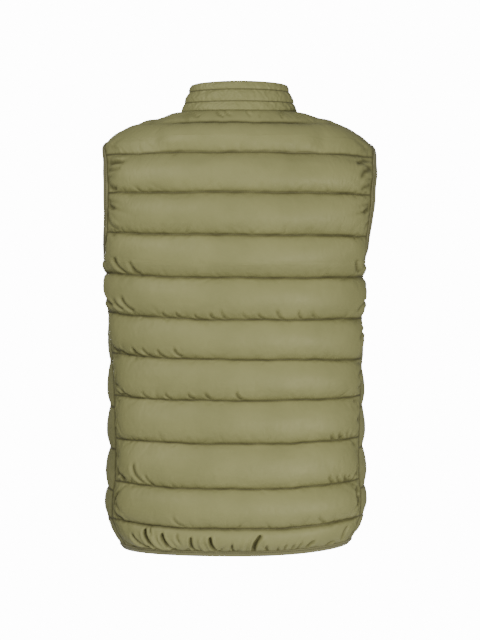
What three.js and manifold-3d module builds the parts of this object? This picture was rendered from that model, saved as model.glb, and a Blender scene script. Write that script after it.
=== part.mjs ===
// A padded vest with a low stand collar, filled out as if worn, hollow and open at neck, armholes and hem.
// Millimetres, +Z up, the front faces -Y and the wearer's left is +X.
// The origin is where the wearer's shoulders carry it: between the two neck points of the shoulder seams.
import * as THREE from "three";
import { RoundedBoxGeometry } from "three/addons/geometries/RoundedBoxGeometry.js";
import { mergeVertices } from "three/addons/utils/BufferGeometryUtils.js";
import Module from "manifold-3d";

// Driving sizes.
const cloth = 2; // thickness of the wall where it is quilted flat
const padding = 13; // rise of the filling between two quilt lines
const seamGap = 0.4; // between pieces that are sewn together
const collarHeight = 46; // along the slant of the collar
const bindingWidth = 7; // of the armhole's stretch binding
const bindingProud = 1.4; // a binding stands this far out from the quilted level
const hemBinding = 8; // height of the hem's binding
const hemGap = 0.7; // between the panels' lower edges and the hem's binding
const zipOpening = 14; // between the two front edges
const shoulderSeamForward = 8; // the shoulder seam lies this far in front of the middle of the shoulder

// The armhole is an oval seen from the side, here up to the free edge of its binding.
const armhole = { top: -50, bottom: -229, middle: -4, behind: 61, ahead: 63, squareness: 2.2, topMargin: 0.65 };
// The front neckline falls from the neck point to the centre front.
const neckline = { halfWidth: 89, frontDrop: 72, squareness: 2 };
// The stand collar: quilt lines up its slant, rise of its filling, and how far it leans in.
const collar = {
  lines: [0, 13, 32, collarHeight],
  fill: [2.5, 4.5, 3.5],
  shares: [0, 0.3, 0.7],
  leanBack: 10,
  leanSide: 17,
  leanFront: 22,
  squareOff: 0.6, // how far its slant turns square to a falling neckline
  columns: 44,
  gap: 0.6, // above the panels' neck edge
  smoothing: 6,
};
// The zip: tape, chain of teeth, and the slider near the collar's top edge.
const zip = { tapeWidth: 16.8, tape: 1, chainWidth: 2.6, chain: 1.5, halfGap: 0.2, parted: 1.7, step: 12, gap: 0.6 };
const slider = { top: 4, width: 9.2, length: 11, plate: 1.4, wedge: 2.4, barRadius: 0.9, barLift: 2.7 };
const pull = { width: 6, length: 26, thickness: 1.6, knuckleWidth: 3, knuckleRadius: 2.1, holeRadius: 1.3 };

// A table with named columns becomes a list of rows with those names.
const table = (columns, rows) =>
  rows.map((row) => Object.fromEntries(columns.map((name, i) => [name, row[i]])));

// Rings of cloth at its quilted level: half widths to the wearer's left and right, depths behind and in front.
const rings = table(
  ["level", "left", "right", "behind", "ahead", "squareness"],
  [
    [0, 89, 88, 58, 52, 2],
    [-4.5, 104, 102.5, 63, 42, 2.05],
    [-10, 124, 122.5, 68, 45, 2.1],
    [-16, 144, 142, 74, 50, 2.15],
    [-22.5, 162, 157, 79, 55, 2.2],
    [-31.5, 182, 176, 84, 61, 2.25],
    [-42, 201, 196, 88, 66, 2.3],
    [-54, 215, 213, 92, 71, 2.3],
    [-72, 221, 222, 98, 81, 2.35],
    [-100, 227, 229, 107, 94, 2.4],
    [-131, 229, 229, 113, 103, 2.4],
    [-165, 227, 223, 117, 110, 2.4],
    [-194, 223, 213, 118, 114, 2.4],
    [-210, 219, 207, 118, 116, 2.4],
    [-230, 213, 197, 117, 118, 2.4],
    [-258, 210, 194, 114, 119, 2.4],
    [-321, 207, 193, 108, 119, 2.45],
    [-382, 204, 193, 103, 116, 2.45],
    [-445, 204, 194, 101, 114, 2.45],
    [-511, 204, 194, 103, 113, 2.45],
    [-578, 206, 196, 106, 113, 2.4],
    [-609, 209, 198, 107, 112, 2.4],
    [-639, 209, 197, 104, 109, 2.4],
    [-660, 201, 190, 97, 102, 2.35],
    [-677, 190, 179, 91, 95, 2.3],
    [-688, 183, 171, 88, 92, 2.3],
  ],
);

// Quilt lines down the back, with the fullness of the baffle under each.
// The rises lift a line at the wearer's left and right sides.
const backLines = table(
  ["level", "fullness", "leftRise", "rightRise"],
  [
    [0, 0.2, 0, 0],
    [-21, 0.8, 0, 0],
    [-67, 1, -2, -6],
    [-128, 1, 0, -4],
    [-192, 1, 5, -3],
    [-257, 1, 6, 0],
    [-321, 1, 9, 0],
    [-382, 1, 7, -3],
    [-445, 1, 4, 3],
    [-511, 1, 4, 5],
    [-580, 1, 6, 9],
    [-641, 0.75, 8, 12],
    [-678, 0, 0, 8],
  ],
);

// Quilt lines down the fronts. They meet the side seams lower than those of the back.
const frontLines = table(
  ["level", "fullness"],
  [
    [0, 0.2],
    [-30, 0.8],
    [-72, 1],
    [-134, 1],
    [-198, 1],
    [-262, 1],
    [-327, 1],
    [-396, 1],
    [-464, 1],
    [-530, 1],
    [-597, 0.9],
    [-643, 0.75],
    [-678, 0],
  ],
);

// Side seams: how far each lies behind the widest part of its ring, measured from front to back.
const sideSeams = table(
  ["level", "left", "right"],
  [
    [-229, 0, 0],
    [-321, 20, 14],
    [-445, 40, 32],
    [-578, 46, 42],
    [-688, 36, 36],
  ],
);

// Folds across the lowest baffle: place of the top end round the ring, from the centre back to the wearer's
// left, sideways run from the top end to the foot, depth and width.
const hemFolds = table(
  ["place", "run", "depth", "width"],
  [
    [-424, -8, 3, 9],
    [-399, -8, 3, 9],
    [-371, 12, 4, 10],
    [-344, 8, 3, 9],
    [-318, -9, 4, 9],
    [-288, 10, 4, 10],
    [-262, -8, 3, 9],
    [-236, 6, 4, 10],
    [-214, -9, 3, 9],
    [-193, 10, 4, 10],
    [-172, 12, 4, 9],
    [-146, 9, 4, 10],
    [-112, 11, 3, 9],
    [-92, 4, 2.5, 8],
    [-74, 6, 3, 8],
    [-56, 3, 2.5, 8],
    [-32, 11, 5, 8],
    [11, -3, 3.5, 9],
    [45, -13, 6, 9],
    [74, -10, 4, 9],
    [95, -6, 3, 9],
    [118, -27, 6, 9],
    [143, -23, 6, 9],
    [168, -18, 3.5, 10],
    [190, -12, 4, 9],
    [212, 8, 3, 9],
    [238, -6, 4, 10],
    [262, -12, 3, 9],
    [290, 9, 4, 10],
    [316, -10, 4, 9],
    [345, 7, 3, 9],
    [372, -12, 4, 10],
    [402, 8, 3, 9],
    [428, -6, 3, 9],
  ],
);

// Gathers that run in from an armhole's edge: level, depth, length and width.
const armholeGathers = table(
  ["level", "depth", "length", "width"],
  [
    [-86, 3, 22, 10],
    [-101, 4, 32, 10],
    [-117, 3, 20, 10],
    [-148, 3.5, 26, 10],
    [-164, 4, 20, 10],
    [-180, 3.5, 28, 10],
    [-212, 4, 28, 10],
    [-227, 3, 22, 10],
  ],
);

// Rows of a baffle, as shares of its height from the upper quilt line down.
const plainRows = [0, 0.09, 0.28, 0.52, 0.76, 0.93];
const gatheredRows = [0, 0.12, 0.25, 0.38, 0.5, 0.62, 0.75, 0.88];
const insideRows = [0, 0.5];
const shallowRows = [0, 0.2, 0.5, 0.8];
// Columns of a panel, as shares of its width. The plain inside has fewer.
const mirrored = (shares) => {
  const right = shares.slice(1).map((share) => 0.5 + share / 2);
  return [...right.map((share) => 1 - share).reverse(), 0.5, ...right];
};
const fullColumns = mirrored([0, 0.16, 0.33, 0.5, 0.65, 0.78, 0.87, 0.935, 0.975, 1]);
const fullInside = mirrored([0, 0.22, 0.44, 0.64, 0.82, 0.94, 1]);
const halfColumns = [0, 0.03, 0.08, 0.16, 0.28, 0.42, 0.58, 0.74, 0.87, 0.95, 1];
const halfInside = [0, 0.07, 0.2, 0.4, 0.64, 0.88, 1];
const hemFoldSpacing = 4.6;
const ringSteps = 720;

const clamp = (value, low, high) => Math.min(high, Math.max(low, value));
const mix = (from, to, share) => from + (to - from) * share;
const smooth = (share) => {
  const t = clamp(share, 0, 1);
  return t * t * (3 - 2 * t);
};
const sideName = (side) => (side > 0 ? "left" : "right");

// A smooth curve through a column of a table sorted by falling level, with no overshoot.
function curveThrough(rows, column) {
  const x = rows.map((row) => -row.level);
  const y = rows.map((row) => row[column]);
  const slope = x.slice(1).map((value, i) => (y[i + 1] - y[i]) / (value - x[i]));
  const tangent = y.map((value, i) => {
    if (i === 0) return slope[0];
    if (i === y.length - 1) return slope[i - 1];
    if (slope[i - 1] * slope[i] <= 0) return 0;
    return (2 * slope[i - 1] * slope[i]) / (slope[i - 1] + slope[i]);
  });
  return (level) => {
    const at = clamp(-level, x[0], x[x.length - 1]);
    let i = 0;
    while (i < x.length - 2 && at > x[i + 1]) i++;
    const width = x[i + 1] - x[i];
    const t = (at - x[i]) / width;
    const t2 = t * t;
    const t3 = t2 * t;
    return (
      (2 * t3 - 3 * t2 + 1) * y[i] +
      (t3 - 2 * t2 + t) * width * tangent[i] +
      (3 * t2 - 2 * t3) * y[i + 1] +
      (t3 - t2) * width * tangent[i + 1]
    );
  };
}

const ringCurves = Object.fromEntries(
  ["left", "right", "behind", "ahead", "squareness"].map((name) => [name, curveThrough(rings, name)]),
);
const rise = { left: curveThrough(backLines, "leftRise"), right: curveThrough(backLines, "rightRise") };
const seamDepth = { left: curveThrough(sideSeams, "left"), right: curveThrough(sideSeams, "right") };

// One ring of the body, from the centre front by the wearer's right, the back and the left to the front again.
// Its arc lengths count from the centre back, positive towards the wearer's left.
const ringCache = new Map();
function ringAt(level) {
  if (ringCache.has(level)) return ringCache.get(level);
  const size = Object.fromEntries(Object.entries(ringCurves).map(([name, curve]) => [name, curve(level)]));
  const power = 2 / size.squareness;
  const points = [];
  for (let i = 0; i <= ringSteps; i++) {
    const angle = -Math.PI + (2 * Math.PI * i) / ringSteps;
    const across = Math.sin(angle);
    const back = Math.cos(angle);
    points.push([
      (across >= 0 ? size.left : size.right) * Math.sign(across) * Math.abs(across) ** power,
      (back >= 0 ? size.behind : size.ahead) * Math.sign(back) * Math.abs(back) ** power,
    ]);
  }
  const arcs = [0];
  for (let i = 1; i < points.length; i++)
    arcs.push(arcs[i - 1] + Math.hypot(points[i][0] - points[i - 1][0], points[i][1] - points[i - 1][1]));
  const middle = arcs[ringSteps / 2];
  const ring = { size, points, arcs: arcs.map((arc) => arc - middle) };
  ringCache.set(level, ring);
  return ring;
}

function pointOnRing(ring, arc) {
  const { points, arcs } = ring;
  const wanted = clamp(arc, arcs[0], arcs[arcs.length - 1]);
  let low = 0;
  let high = arcs.length - 1;
  while (high - low > 1) {
    const half = (low + high) >> 1;
    if (arcs[half] > wanted) high = half;
    else low = half;
  }
  const t = (wanted - arcs[low]) / (arcs[high] - arcs[low]);
  return [0, 1].map((k) => mix(points[low][k], points[high][k], t));
}

// The arc at which a ring reaches a front-to-back place, on the wearer's left (side 1) or right (side -1).
function arcAtDepth(ring, side, depth) {
  const half = ringSteps / 2;
  for (let i = 0; i < half; i++) {
    const a = half + side * i;
    const b = half + side * (i + 1);
    const [ya, yb] = [ring.points[a][1], ring.points[b][1]];
    if (ya >= depth && yb <= depth) return mix(ring.arcs[a], ring.arcs[b], (ya - depth) / (ya - yb || 1));
  }
  return ring.arcs[side > 0 ? ringSteps : 0];
}

// The arc in the front half at which a ring comes within a distance of the centre front.
function arcNearFront(ring, side, across) {
  const end = side > 0 ? ringSteps : 0;
  for (let i = 0; i < ringSteps / 4; i++) {
    const a = end - side * i;
    const b = end - side * (i + 1);
    const [xa, xb] = [Math.abs(ring.points[a][0]), Math.abs(ring.points[b][0])];
    if (xa <= across && xb >= across) return mix(ring.arcs[a], ring.arcs[b], (across - xa) / (xb - xa || 1));
  }
  return ring.arcs[end - (side * ringSteps) / 4];
}

// A point of the cloth at its quilted level, and the direction out of the body there.
function bodyPoint(level, arc) {
  const ring = ringAt(level);
  const [x, y] = pointOnRing(ring, arc);
  const side = x >= 0 ? "left" : "right";
  const share = Math.abs(x) / ring.size[side];
  const towardsFront = y < 0 ? 1 - smooth(-y / ring.size.ahead) : 1;
  return new THREE.Vector3(x, y, level + rise[side](level) * share * share * towardsFront);
}

function bodyNormal(level, arc) {
  const step = 1.5;
  const along = bodyPoint(level, arc + step).sub(bodyPoint(level, arc - step));
  const down = bodyPoint(level - step, arc).sub(bodyPoint(level + step, arc));
  return along.cross(down).normalize();
}

// The armhole's oval, grown by a margin. Its middle line runs from the shoulder seam to the side seam.
const panelMargin = bindingWidth + seamGap;
const ovalCentre = (armhole.top + armhole.bottom) / 2;
const ovalTall = (above, margin) =>
  (armhole.top - armhole.bottom) / 2 + margin * (above ? armhole.topMargin : 1);
const armholeTop = ovalCentre + ovalTall(true, panelMargin);
const armholeBottom = ovalCentre - ovalTall(false, panelMargin);
const inArmhole = (level) => level < armholeTop && level > armholeBottom;

function ovalLine(level, side) {
  const share = (armholeTop - level) / (armholeTop - armholeBottom);
  const foot = seamDepth[sideName(side)](armholeBottom);
  if (share < 0.5) return mix(-shoulderSeamForward, armhole.middle, share * 2);
  return mix(armhole.middle, foot, share * 2 - 1);
}

// The level and front-to-back place of the oval at a margin, where a panel's row of a given level ends.
function ovalPoint(rowLevel, side, piece, margin) {
  const above = rowLevel > ovalCentre;
  const height = (rowLevel - ovalCentre) / ovalTall(above, panelMargin);
  const half = (piece === "back" ? armhole.behind : armhole.ahead) + margin;
  const width = Math.max(0, 1 - Math.abs(height) ** armhole.squareness) ** (1 / armhole.squareness);
  return {
    level: ovalCentre + height * ovalTall(above, margin),
    depth: ovalLine(rowLevel, side) + (piece === "back" ? 1 : -1) * half * width,
  };
}

// Where a row of a panel ends at one side: at the shoulder seam, the armhole or the side seam.
function outerEnd(level, side, piece) {
  const ring = ringAt(level);
  const gap = ((piece === "back" ? -side : side) * seamGap) / 2;
  if (level >= armholeTop) return arcAtDepth(ring, side, -shoulderSeamForward) + gap;
  if (inArmhole(level)) return arcAtDepth(ring, side, ovalPoint(level, side, piece, panelMargin).depth) + gap;
  return arcAtDepth(ring, side, seamDepth[sideName(side)](level)) + gap;
}

// Where a row of a front ends towards the middle: at the neckline, then at the zip.
function innerEnd(level, side) {
  const share = clamp(-level / neckline.frontDrop, 0, 1);
  const across = neckline.halfWidth * (1 - share ** neckline.squareness) ** (1 / neckline.squareness);
  return arcNearFront(ringAt(level), side, Math.max(zipOpening / 2, across));
}

// The round of a baffle between its quilt lines, fuller low down, as a share of its padding.
const baffleRound = (share) => {
  const low = share ** 1.18;
  return (4 * low * (1 - low)) ** 0.62;
};
const valley = (distance, width) => Math.exp(-((distance / (width / 2)) ** 2));

function baffleOf(level, lines) {
  let i = 0;
  while (i < lines.length - 2 && level < lines[i + 1].level - 1e-6) i++;
  const height = lines[i].level - lines[i + 1].level;
  const share = clamp((lines[i].level - level) / height, 0, 1);
  return { height, share, fullness: lines[i].fullness, isLowest: i === lines.length - 2 };
}

const roundFrom = (distance, reach) => 1 - (1 - clamp(distance / reach, 0, 1)) ** 2.4;

// How far a place on the cloth lies outside the armhole's oval, along the ray from the oval's middle.
function awayFromArmhole(level, arc) {
  const [x, depth] = pointOnRing(ringAt(level), arc);
  const middle = ovalLine(clamp(level, armholeBottom, armholeTop), x > 0 ? 1 : -1);
  const half = (depth > middle ? armhole.behind : armhole.ahead) + panelMargin;
  const across = (depth - middle) / half;
  const tall = (level - ovalCentre) / ovalTall(level > ovalCentre, panelMargin);
  const size = (Math.abs(across) ** armhole.squareness + Math.abs(tall) ** armhole.squareness) ** (1 / armhole.squareness);
  return Math.hypot(depth - middle, level - ovalCentre) * Math.max(0, 1 - 1 / size);
}

// How far the outer cloth stands out from its quilted level.
function paddingAt(level, arc, ends, lines) {
  const baffle = baffleOf(level, lines);
  const away = awayFromArmhole(level, arc);
  const edges = ends.round(arc - ends.start, ends.end - arc) * roundFrom(away, 30);
  let lift = padding * baffle.fullness * baffleRound(baffle.share) * edges;
  if (baffle.isLowest)
    for (const fold of hemFolds) {
      const aside = arc - fold.place - fold.run * baffle.share;
      lift -= fold.depth * valley(aside, fold.width) * Math.sin(Math.PI * mix(0.1, 1, baffle.share));
    }
  if (inArmhole(level))
    for (const gather of armholeGathers) {
      const fade = clamp(1 - away / gather.length, 0, 1) * smooth(away / 4);
      lift -= gather.depth * valley(level - gather.level, gather.width) * fade;
    }
  return Math.max(0, lift);
}

// A closed wall made of rows of points. Its rows may have different numbers of points.
class Wall {
  constructor() {
    this.places = [];
    this.faces = [];
  }

  row(points) {
    return points.map((place) => {
      this.places.push(place.x, place.y, place.z);
      return this.places.length / 3 - 1;
    });
  }

  apart(first, second) {
    const [a, b] = [first * 3, second * 3];
    return Math.hypot(...[0, 1, 2].map((k) => this.places[a + k] - this.places[b + k]));
  }

  // Joins two rows that run the same way, each time across the shorter gap.
  join(first, second) {
    let i = 0;
    let j = 0;
    while (i < first.length - 1 || j < second.length - 1) {
      const byFirst = i < first.length - 1 ? this.apart(first[i + 1], second[j]) : Infinity;
      const bySecond = j < second.length - 1 ? this.apart(first[i], second[j + 1]) : Infinity;
      if (byFirst <= bySecond) {
        this.faces.push(first[i], first[i + 1], second[j]);
        i++;
      } else {
        this.faces.push(first[i], second[j + 1], second[j]);
        j++;
      }
    }
  }

  // Outer and inner rows from top to bottom become a sheet with thickness, closed at all four edges.
  closeSheet(outer, inner) {
    for (let j = 0; j + 1 < outer.length; j++) this.join(outer[j], outer[j + 1]);
    for (let j = 0; j + 1 < inner.length; j++) this.join(inner[j + 1], inner[j]);
    const starts = (rows) => rows.map((row) => row[0]);
    const ends = (rows) => rows.map((row) => row[row.length - 1]);
    this.join(inner[0], outer[0]);
    this.join(outer[outer.length - 1], inner[inner.length - 1]);
    this.join(starts(outer), starts(inner));
    this.join(ends(inner), ends(outer));
  }

  // Equal closed sections one after the other become a bar, or a hoop where it is closed on itself.
  sweep(sections, isHoop) {
    const rows = sections.map((section) => this.row(section));
    const count = rows[0].length;
    const turns = isHoop ? rows.length : rows.length - 1;
    for (let j = 0; j < turns; j++) {
      const a = rows[j];
      const b = rows[(j + 1) % rows.length];
      for (let i = 0; i < count; i++) {
        const k = (i + 1) % count;
        this.faces.push(a[i], a[k], b[i], a[k], b[k], b[i]);
      }
    }
    if (isHoop) return;
    const end = rows[rows.length - 1];
    for (let i = 1; i + 1 < count; i++) {
      this.faces.push(rows[0][0], rows[0][i + 1], rows[0][i]);
      this.faces.push(end[0], end[i], end[i + 1]);
    }
  }

  // Six times the volume inside the faces. It is negative where they point inwards.
  sixfoldVolume() {
    const corner = (index) => new THREE.Vector3().fromArray(this.places, index * 3);
    let sum = 0;
    for (let i = 0; i < this.faces.length; i += 3) {
      const [a, b, c] = this.faces.slice(i, i + 3).map(corner);
      sum += a.dot(b.cross(c));
    }
    return sum;
  }

  geometry() {
    const geometry = new THREE.BufferGeometry();
    geometry.setAttribute("position", new THREE.Float32BufferAttribute(this.places, 3));
    geometry.setIndex(this.sixfoldVolume() < 0 ? [...this.faces].reverse() : this.faces);
    return geometry;
  }
}

// The levels of a panel's rows: its baffles' rows, and more where the armhole's curve is tight.
function rowLevels(lines, top) {
  const bottom = lines[lines.length - 1].level;
  const levels = [top, bottom];
  lines.slice(0, -1).forEach((line, i) => {
    const height = line.level - lines[i + 1].level;
    const beside = line.level < armholeTop - 15 && lines[i + 1].level > armholeBottom - 30;
    const shares = height < 42 ? shallowRows : beside ? gatheredRows : plainRows;
    for (const share of shares) levels.push(line.level - share * height);
  });
  const tight = [0, -1.5, -4.5, -9.5].map((step) => armholeTop + step);
  tight.push(...[0, 1.5, 4.5, 9.5, 16].map((step) => armholeBottom + step));
  const wanted = levels.filter((level) => level <= top && level >= bottom);
  const clear = wanted.filter((level) => tight.every((edge) => Math.abs(edge - level) > 1.2));
  const sorted = [...new Set([...clear, ...tight.filter((level) => level <= top), bottom])];
  return sorted.sort((a, b) => b - a);
}
const backLevels = rowLevels(backLines, 0);
const neckLevels = [-2, -67, -70.4]; // where the neckline turns fastest
const frontLevels = [...new Set([...rowLevels(frontLines, -0.5), ...neckLevels])].sort((a, b) => b - a);

function evenShares(ends, spacing) {
  const steps = Math.round((ends.end - ends.start) / spacing);
  return Array.from({ length: steps + 1 }, (_, i) => i / steps);
}

// The plain inside has fewer rows, but it keeps those that end at the armhole or the neckline.
function insideOf(lines, levels) {
  const plain = lines.slice(0, -1).flatMap((line, i) => {
    const height = line.level - lines[i + 1].level;
    return insideRows.map((share) => line.level - share * height);
  });
  const isShaped = (level) => level > armholeBottom - 2 || level === levels[levels.length - 1];
  return levels.filter((level) => isShaped(level) || plain.some((other) => Math.abs(other - level) < 0.02 * padding + 1.5));
}

// A quilted panel, puffed outside and plain inside.
function quiltedPanel(lines, levels, insideLevels, endsAt, columns, insideColumns) {
  const wall = new Wall();
  const rowOf = (level, shares, liftAt) => {
    const ends = endsAt(level);
    const points = shares.map((share) => {
      const arc = mix(ends.start, ends.end, share);
      return bodyPoint(level, arc).addScaledVector(bodyNormal(level, arc), liftAt(arc, ends));
    });
    return wall.row(points);
  };
  const outer = levels.map((level) => {
    const ends = endsAt(level);
    const isFolded = baffleOf(level, lines).isLowest && baffleOf(level, lines).share > 0.01;
    const shares = isFolded ? evenShares(ends, hemFoldSpacing) : columns;
    return rowOf(level, shares, (arc) => paddingAt(level, arc, ends, lines));
  });
  const lowest = levels[levels.length - 1];
  const inner = insideLevels.map((level) => {
    const shares = level === lowest ? evenShares(endsAt(level), hemFoldSpacing * 2.5) : insideColumns;
    return rowOf(level, shares, () => -cloth);
  });
  wall.closeSheet(outer, inner);
  return wall.geometry();
}

// A row is pinched at the shoulder seam and the side seam. Both fade out beside the armhole.
function pinchAtSeams(level, distance, sideRound) {
  const shoulder = mix(1, roundFrom(distance, 22), smooth((level - armholeTop) / 12));
  return shoulder * mix(1, sideRound(distance), smooth((armholeBottom - level) / 45));
}

function backEnds(level) {
  const sideRound = (distance) => roundFrom(distance, 55);
  return {
    start: outerEnd(level, -1, "back"),
    end: outerEnd(level, 1, "back"),
    round: (fromStart, fromEnd) => pinchAtSeams(level, Math.min(fromStart, fromEnd), sideRound),
  };
}

// The fronts fill slowly from the side seam, so the sides stay lean.
function frontEnds(level, side) {
  const outside = outerEnd(level, side, "front");
  const inside = innerEnd(level, side);
  const sideRound = (distance) => smooth(distance / 110);
  return {
    start: side > 0 ? outside : inside,
    end: side > 0 ? inside : outside,
    round: (fromStart, fromEnd) => {
      const [fromSide, fromZip] = side > 0 ? [fromStart, fromEnd] : [fromEnd, fromStart];
      return pinchAtSeams(level, fromSide, sideRound) * roundFrom(fromZip, 40);
    },
  };
}

const bySide = (shares, side) => (side > 0 ? shares : shares.map((share) => 1 - share).reverse());
const backPanel = () => quiltedPanel(backLines, backLevels, insideOf(backLines, backLevels), backEnds, fullColumns, fullInside);
const frontPanel = (side) =>
  quiltedPanel(
    frontLines,
    frontLevels,
    insideOf(frontLines, frontLevels),
    (level) => frontEnds(level, side),
    bySide(halfColumns.map((share) => 1 - share).reverse(), side),
    bySide(halfInside.map((share) => 1 - share).reverse(), side),
  );

// The neck edges of the panels: the back's, from the wearer's right to the left, and each front's downwards.
function neckEdges() {
  const ends = backEnds(0);
  const back = fullColumns.map((share) => bodyPoint(0, mix(ends.start, ends.end, share)));
  const rows = frontLevels.filter((level) => level >= -neckline.frontDrop).slice(1);
  const frontOf = (side, neckPoint) => [neckPoint, ...rows.map((level) => bodyPoint(level, innerEnd(level, side)))];
  return { back, right: frontOf(-1, back[0]), left: frontOf(1, back[back.length - 1]) };
}

// A line of points at even steps along another.
function evenly(points, count) {
  const runs = [0];
  for (let i = 1; i < points.length; i++) runs.push(runs[i - 1] + points[i].distanceTo(points[i - 1]));
  const length = runs[runs.length - 1];
  return Array.from({ length: count + 1 }, (_, k) => {
    const run = (length * k) / count;
    let i = 0;
    while (i < points.length - 2 && run > runs[i + 1]) i++;
    return points[i].clone().lerp(points[i + 1], clamp((run - runs[i]) / (runs[i + 1] - runs[i]), 0, 1));
  });
}
const smoothed = (points) =>
  points.map((point, i) => {
    if (i === 0 || i === points.length - 1) return point.clone();
    return point.clone().multiplyScalar(2).add(points[i - 1]).add(points[i + 1]).multiplyScalar(0.25);
  });

// The stand collar. Each column of it stands on a point of the neck edge and leans in.
function collarColumns() {
  const edges = neckEdges();
  const [left, right] = [edges.left, edges.right].map((edge) => evenly(edge, collar.columns / 4));
  const foot = [...right.slice(1).reverse(), ...evenly(edges.back, collar.columns / 2), ...left.slice(1)];
  const up = new THREE.Vector3(0, 0, 1);
  const last = foot.length - 1;
  const alongAt = (points, i) => {
    if (i === 0 || i === last) return new THREE.Vector3(i === 0 ? -1 : 1, 0, 0).multiplyScalar(i === 0 ? 1 : -1);
    return points[Math.min(last, i + 2)].clone().sub(points[Math.max(0, i - 2)]).normalize();
  };
  let top = foot.map((place, i) => {
    const along = alongAt(foot, i);
    const inward = new THREE.Vector3(along.y, -along.x, 0).normalize();
    if (inward.dot(new THREE.Vector3(-place.x, -12 - place.y, 0)) < 0) inward.negate();
    const towardsFront = clamp(-place.z / neckline.frontDrop, 0, 1);
    const towardsSide = smooth(Math.abs(place.x) / neckline.halfWidth);
    const behind = mix(collar.leanBack, collar.leanSide, towardsSide);
    const lean = THREE.MathUtils.degToRad(mix(behind, collar.leanFront, towardsFront));
    const slant = up.clone().multiplyScalar(Math.cos(lean)).addScaledVector(inward, Math.sin(lean));
    slant.addScaledVector(along, -slant.dot(along) * collar.squareOff).normalize();
    return place.clone().addScaledVector(slant, collarHeight);
  });
  for (let i = 0; i < collar.smoothing; i++) top = smoothed(top);
  return foot.map((place, i) => {
    const slant = top[i].clone().sub(place).normalize();
    const along = alongAt(top, i).add(alongAt(foot, i));
    const out = slant.clone().cross(along).normalize();
    if (out.dot(new THREE.Vector3(place.x, place.y + 12, 0)) < 0) out.negate();
    return { base: place.clone().addScaledVector(slant, collar.gap), slant, out };
  });
}

function collarWall() {
  const wall = new Wall();
  const columns = collarColumns();
  const heights = [];
  collar.lines.slice(0, -1).forEach((line, i) => {
    const band = collar.lines[i + 1] - line;
    for (const share of collar.shares) heights.push({ height: line + share * band, share, fill: collar.fill[i] });
  });
  heights.push({ height: collarHeight, share: 1, fill: 0 });
  heights.reverse();
  const rowAt = (height, liftAt) =>
    wall.row(
      columns.map(({ base, slant, out }, i) =>
        base.clone().addScaledVector(slant, height).addScaledVector(out, liftAt(i)),
      ),
    );
  const outer = heights.map(({ height, share, fill }) =>
    rowAt(height, (i) => {
      const fromEnd = Math.min(i, collar.columns - i) / collar.columns;
      return fill * (4 * share * (1 - share)) ** 0.5 * roundFrom(fromEnd, 0.06);
    }),
  );
  const inner = [1, 2 / 3, 1 / 3, 0].map((share) => rowAt(share * collarHeight, () => -cloth));
  wall.closeSheet(outer, inner);
  return wall.geometry();
}

// A binding's section, as shares of its width from the free edge, and lifts from the quilted level.
const bindingSection = table(
  ["width", "lift"],
  [
    [0, -1.5],
    [0, 0.4],
    [0.28, bindingProud],
    [0.78, bindingProud],
    [1, 0.2],
    [1, -1.4],
    [0.7, -cloth],
  ],
);

function armholeBinding(side) {
  const samples = [
    { level: armholeTop, piece: "back" },
    ...backLevels.filter(inArmhole).map((level) => ({ level, piece: "back" })),
    { level: armholeBottom, piece: "back" },
    ...frontLevels.filter(inArmhole).reverse().map((level) => ({ level, piece: "front" })),
  ];
  const sections = samples.map(({ level, piece }) =>
    bindingSection.map(({ width, lift }) => {
      const spot = ovalPoint(level, side, piece, width * bindingWidth);
      const arc = arcAtDepth(ringAt(spot.level), side, spot.depth);
      return bodyPoint(spot.level, arc).addScaledVector(bodyNormal(spot.level, arc), lift);
    }),
  );
  const wall = new Wall();
  wall.sweep(sections, true);
  return wall.geometry();
}

function hemBindingBar() {
  const top = backLines[backLines.length - 1].level - hemGap;
  const steps = 64;
  const sections = Array.from({ length: steps + 1 }, (_, i) =>
    bindingSection.map(({ width, lift }) => {
      const level = top - hemBinding * (1 - width);
      const ring = ringAt(level);
      const edge = zipOpening / 2;
      const arc = mix(arcNearFront(ring, -1, edge), arcNearFront(ring, 1, edge), i / steps);
      return bodyPoint(level, arc).addScaledVector(bodyNormal(level, arc), lift);
    }),
  );
  const wall = new Wall();
  wall.sweep(sections, false);
  return wall.geometry();
}

// The line of the zip: up the centre front from the hem, then up the front of the collar.
function zipLine() {
  const bottom = backLines[backLines.length - 1].level - hemGap - hemBinding + 1;
  const line = [];
  const levels = [bottom];
  for (const level of [...frontLevels].reverse())
    if (level < -neckline.frontDrop - 1 && level - levels[levels.length - 1] > zip.step) levels.push(level);
  for (const level of levels) {
    const arc = arcNearFront(ringAt(level), 1, zipOpening / 2);
    const out = bodyNormal(level, arc).setX(0).normalize();
    line.push({ place: bodyPoint(level, arc).setX(0), out, height: -1 });
  }
  const { base, slant, out } = collarColumns()[0];
  const sliderMiddle = collarHeight - slider.top - slider.length / 2;
  const heights = [3, 12, 22, sliderMiddle - 6, sliderMiddle - 3, sliderMiddle - 1, sliderMiddle + 2, collarHeight - 1];
  for (const height of heights)
    line.push({ place: base.clone().addScaledVector(slant, height).setX(0), out, height });
  return line;
}

function zipHalf(side) {
  const sliderMiddle = collarHeight - slider.top - slider.length / 2;
  const behind = -cloth - zip.gap;
  const sections = zipLine().map(({ place, out, height }) => {
    const parted = mix(zip.halfGap, zip.parted, smooth((height - sliderMiddle + 6) / 5));
    const corner = (across, lift) => place.clone().addScaledVector(out, lift).setX(side * (parted + across));
    return [
      corner(0, behind - zip.tape),
      corner(zip.tapeWidth - parted, behind - zip.tape),
      corner(zip.tapeWidth - parted, behind),
      corner(zip.chainWidth, behind),
      corner(zip.chainWidth, behind + zip.chain),
      corner(0, behind + zip.chain),
    ];
  });
  const wall = new Wall();
  wall.sweep(sections, false);
  return wall.geometry();
}

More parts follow.
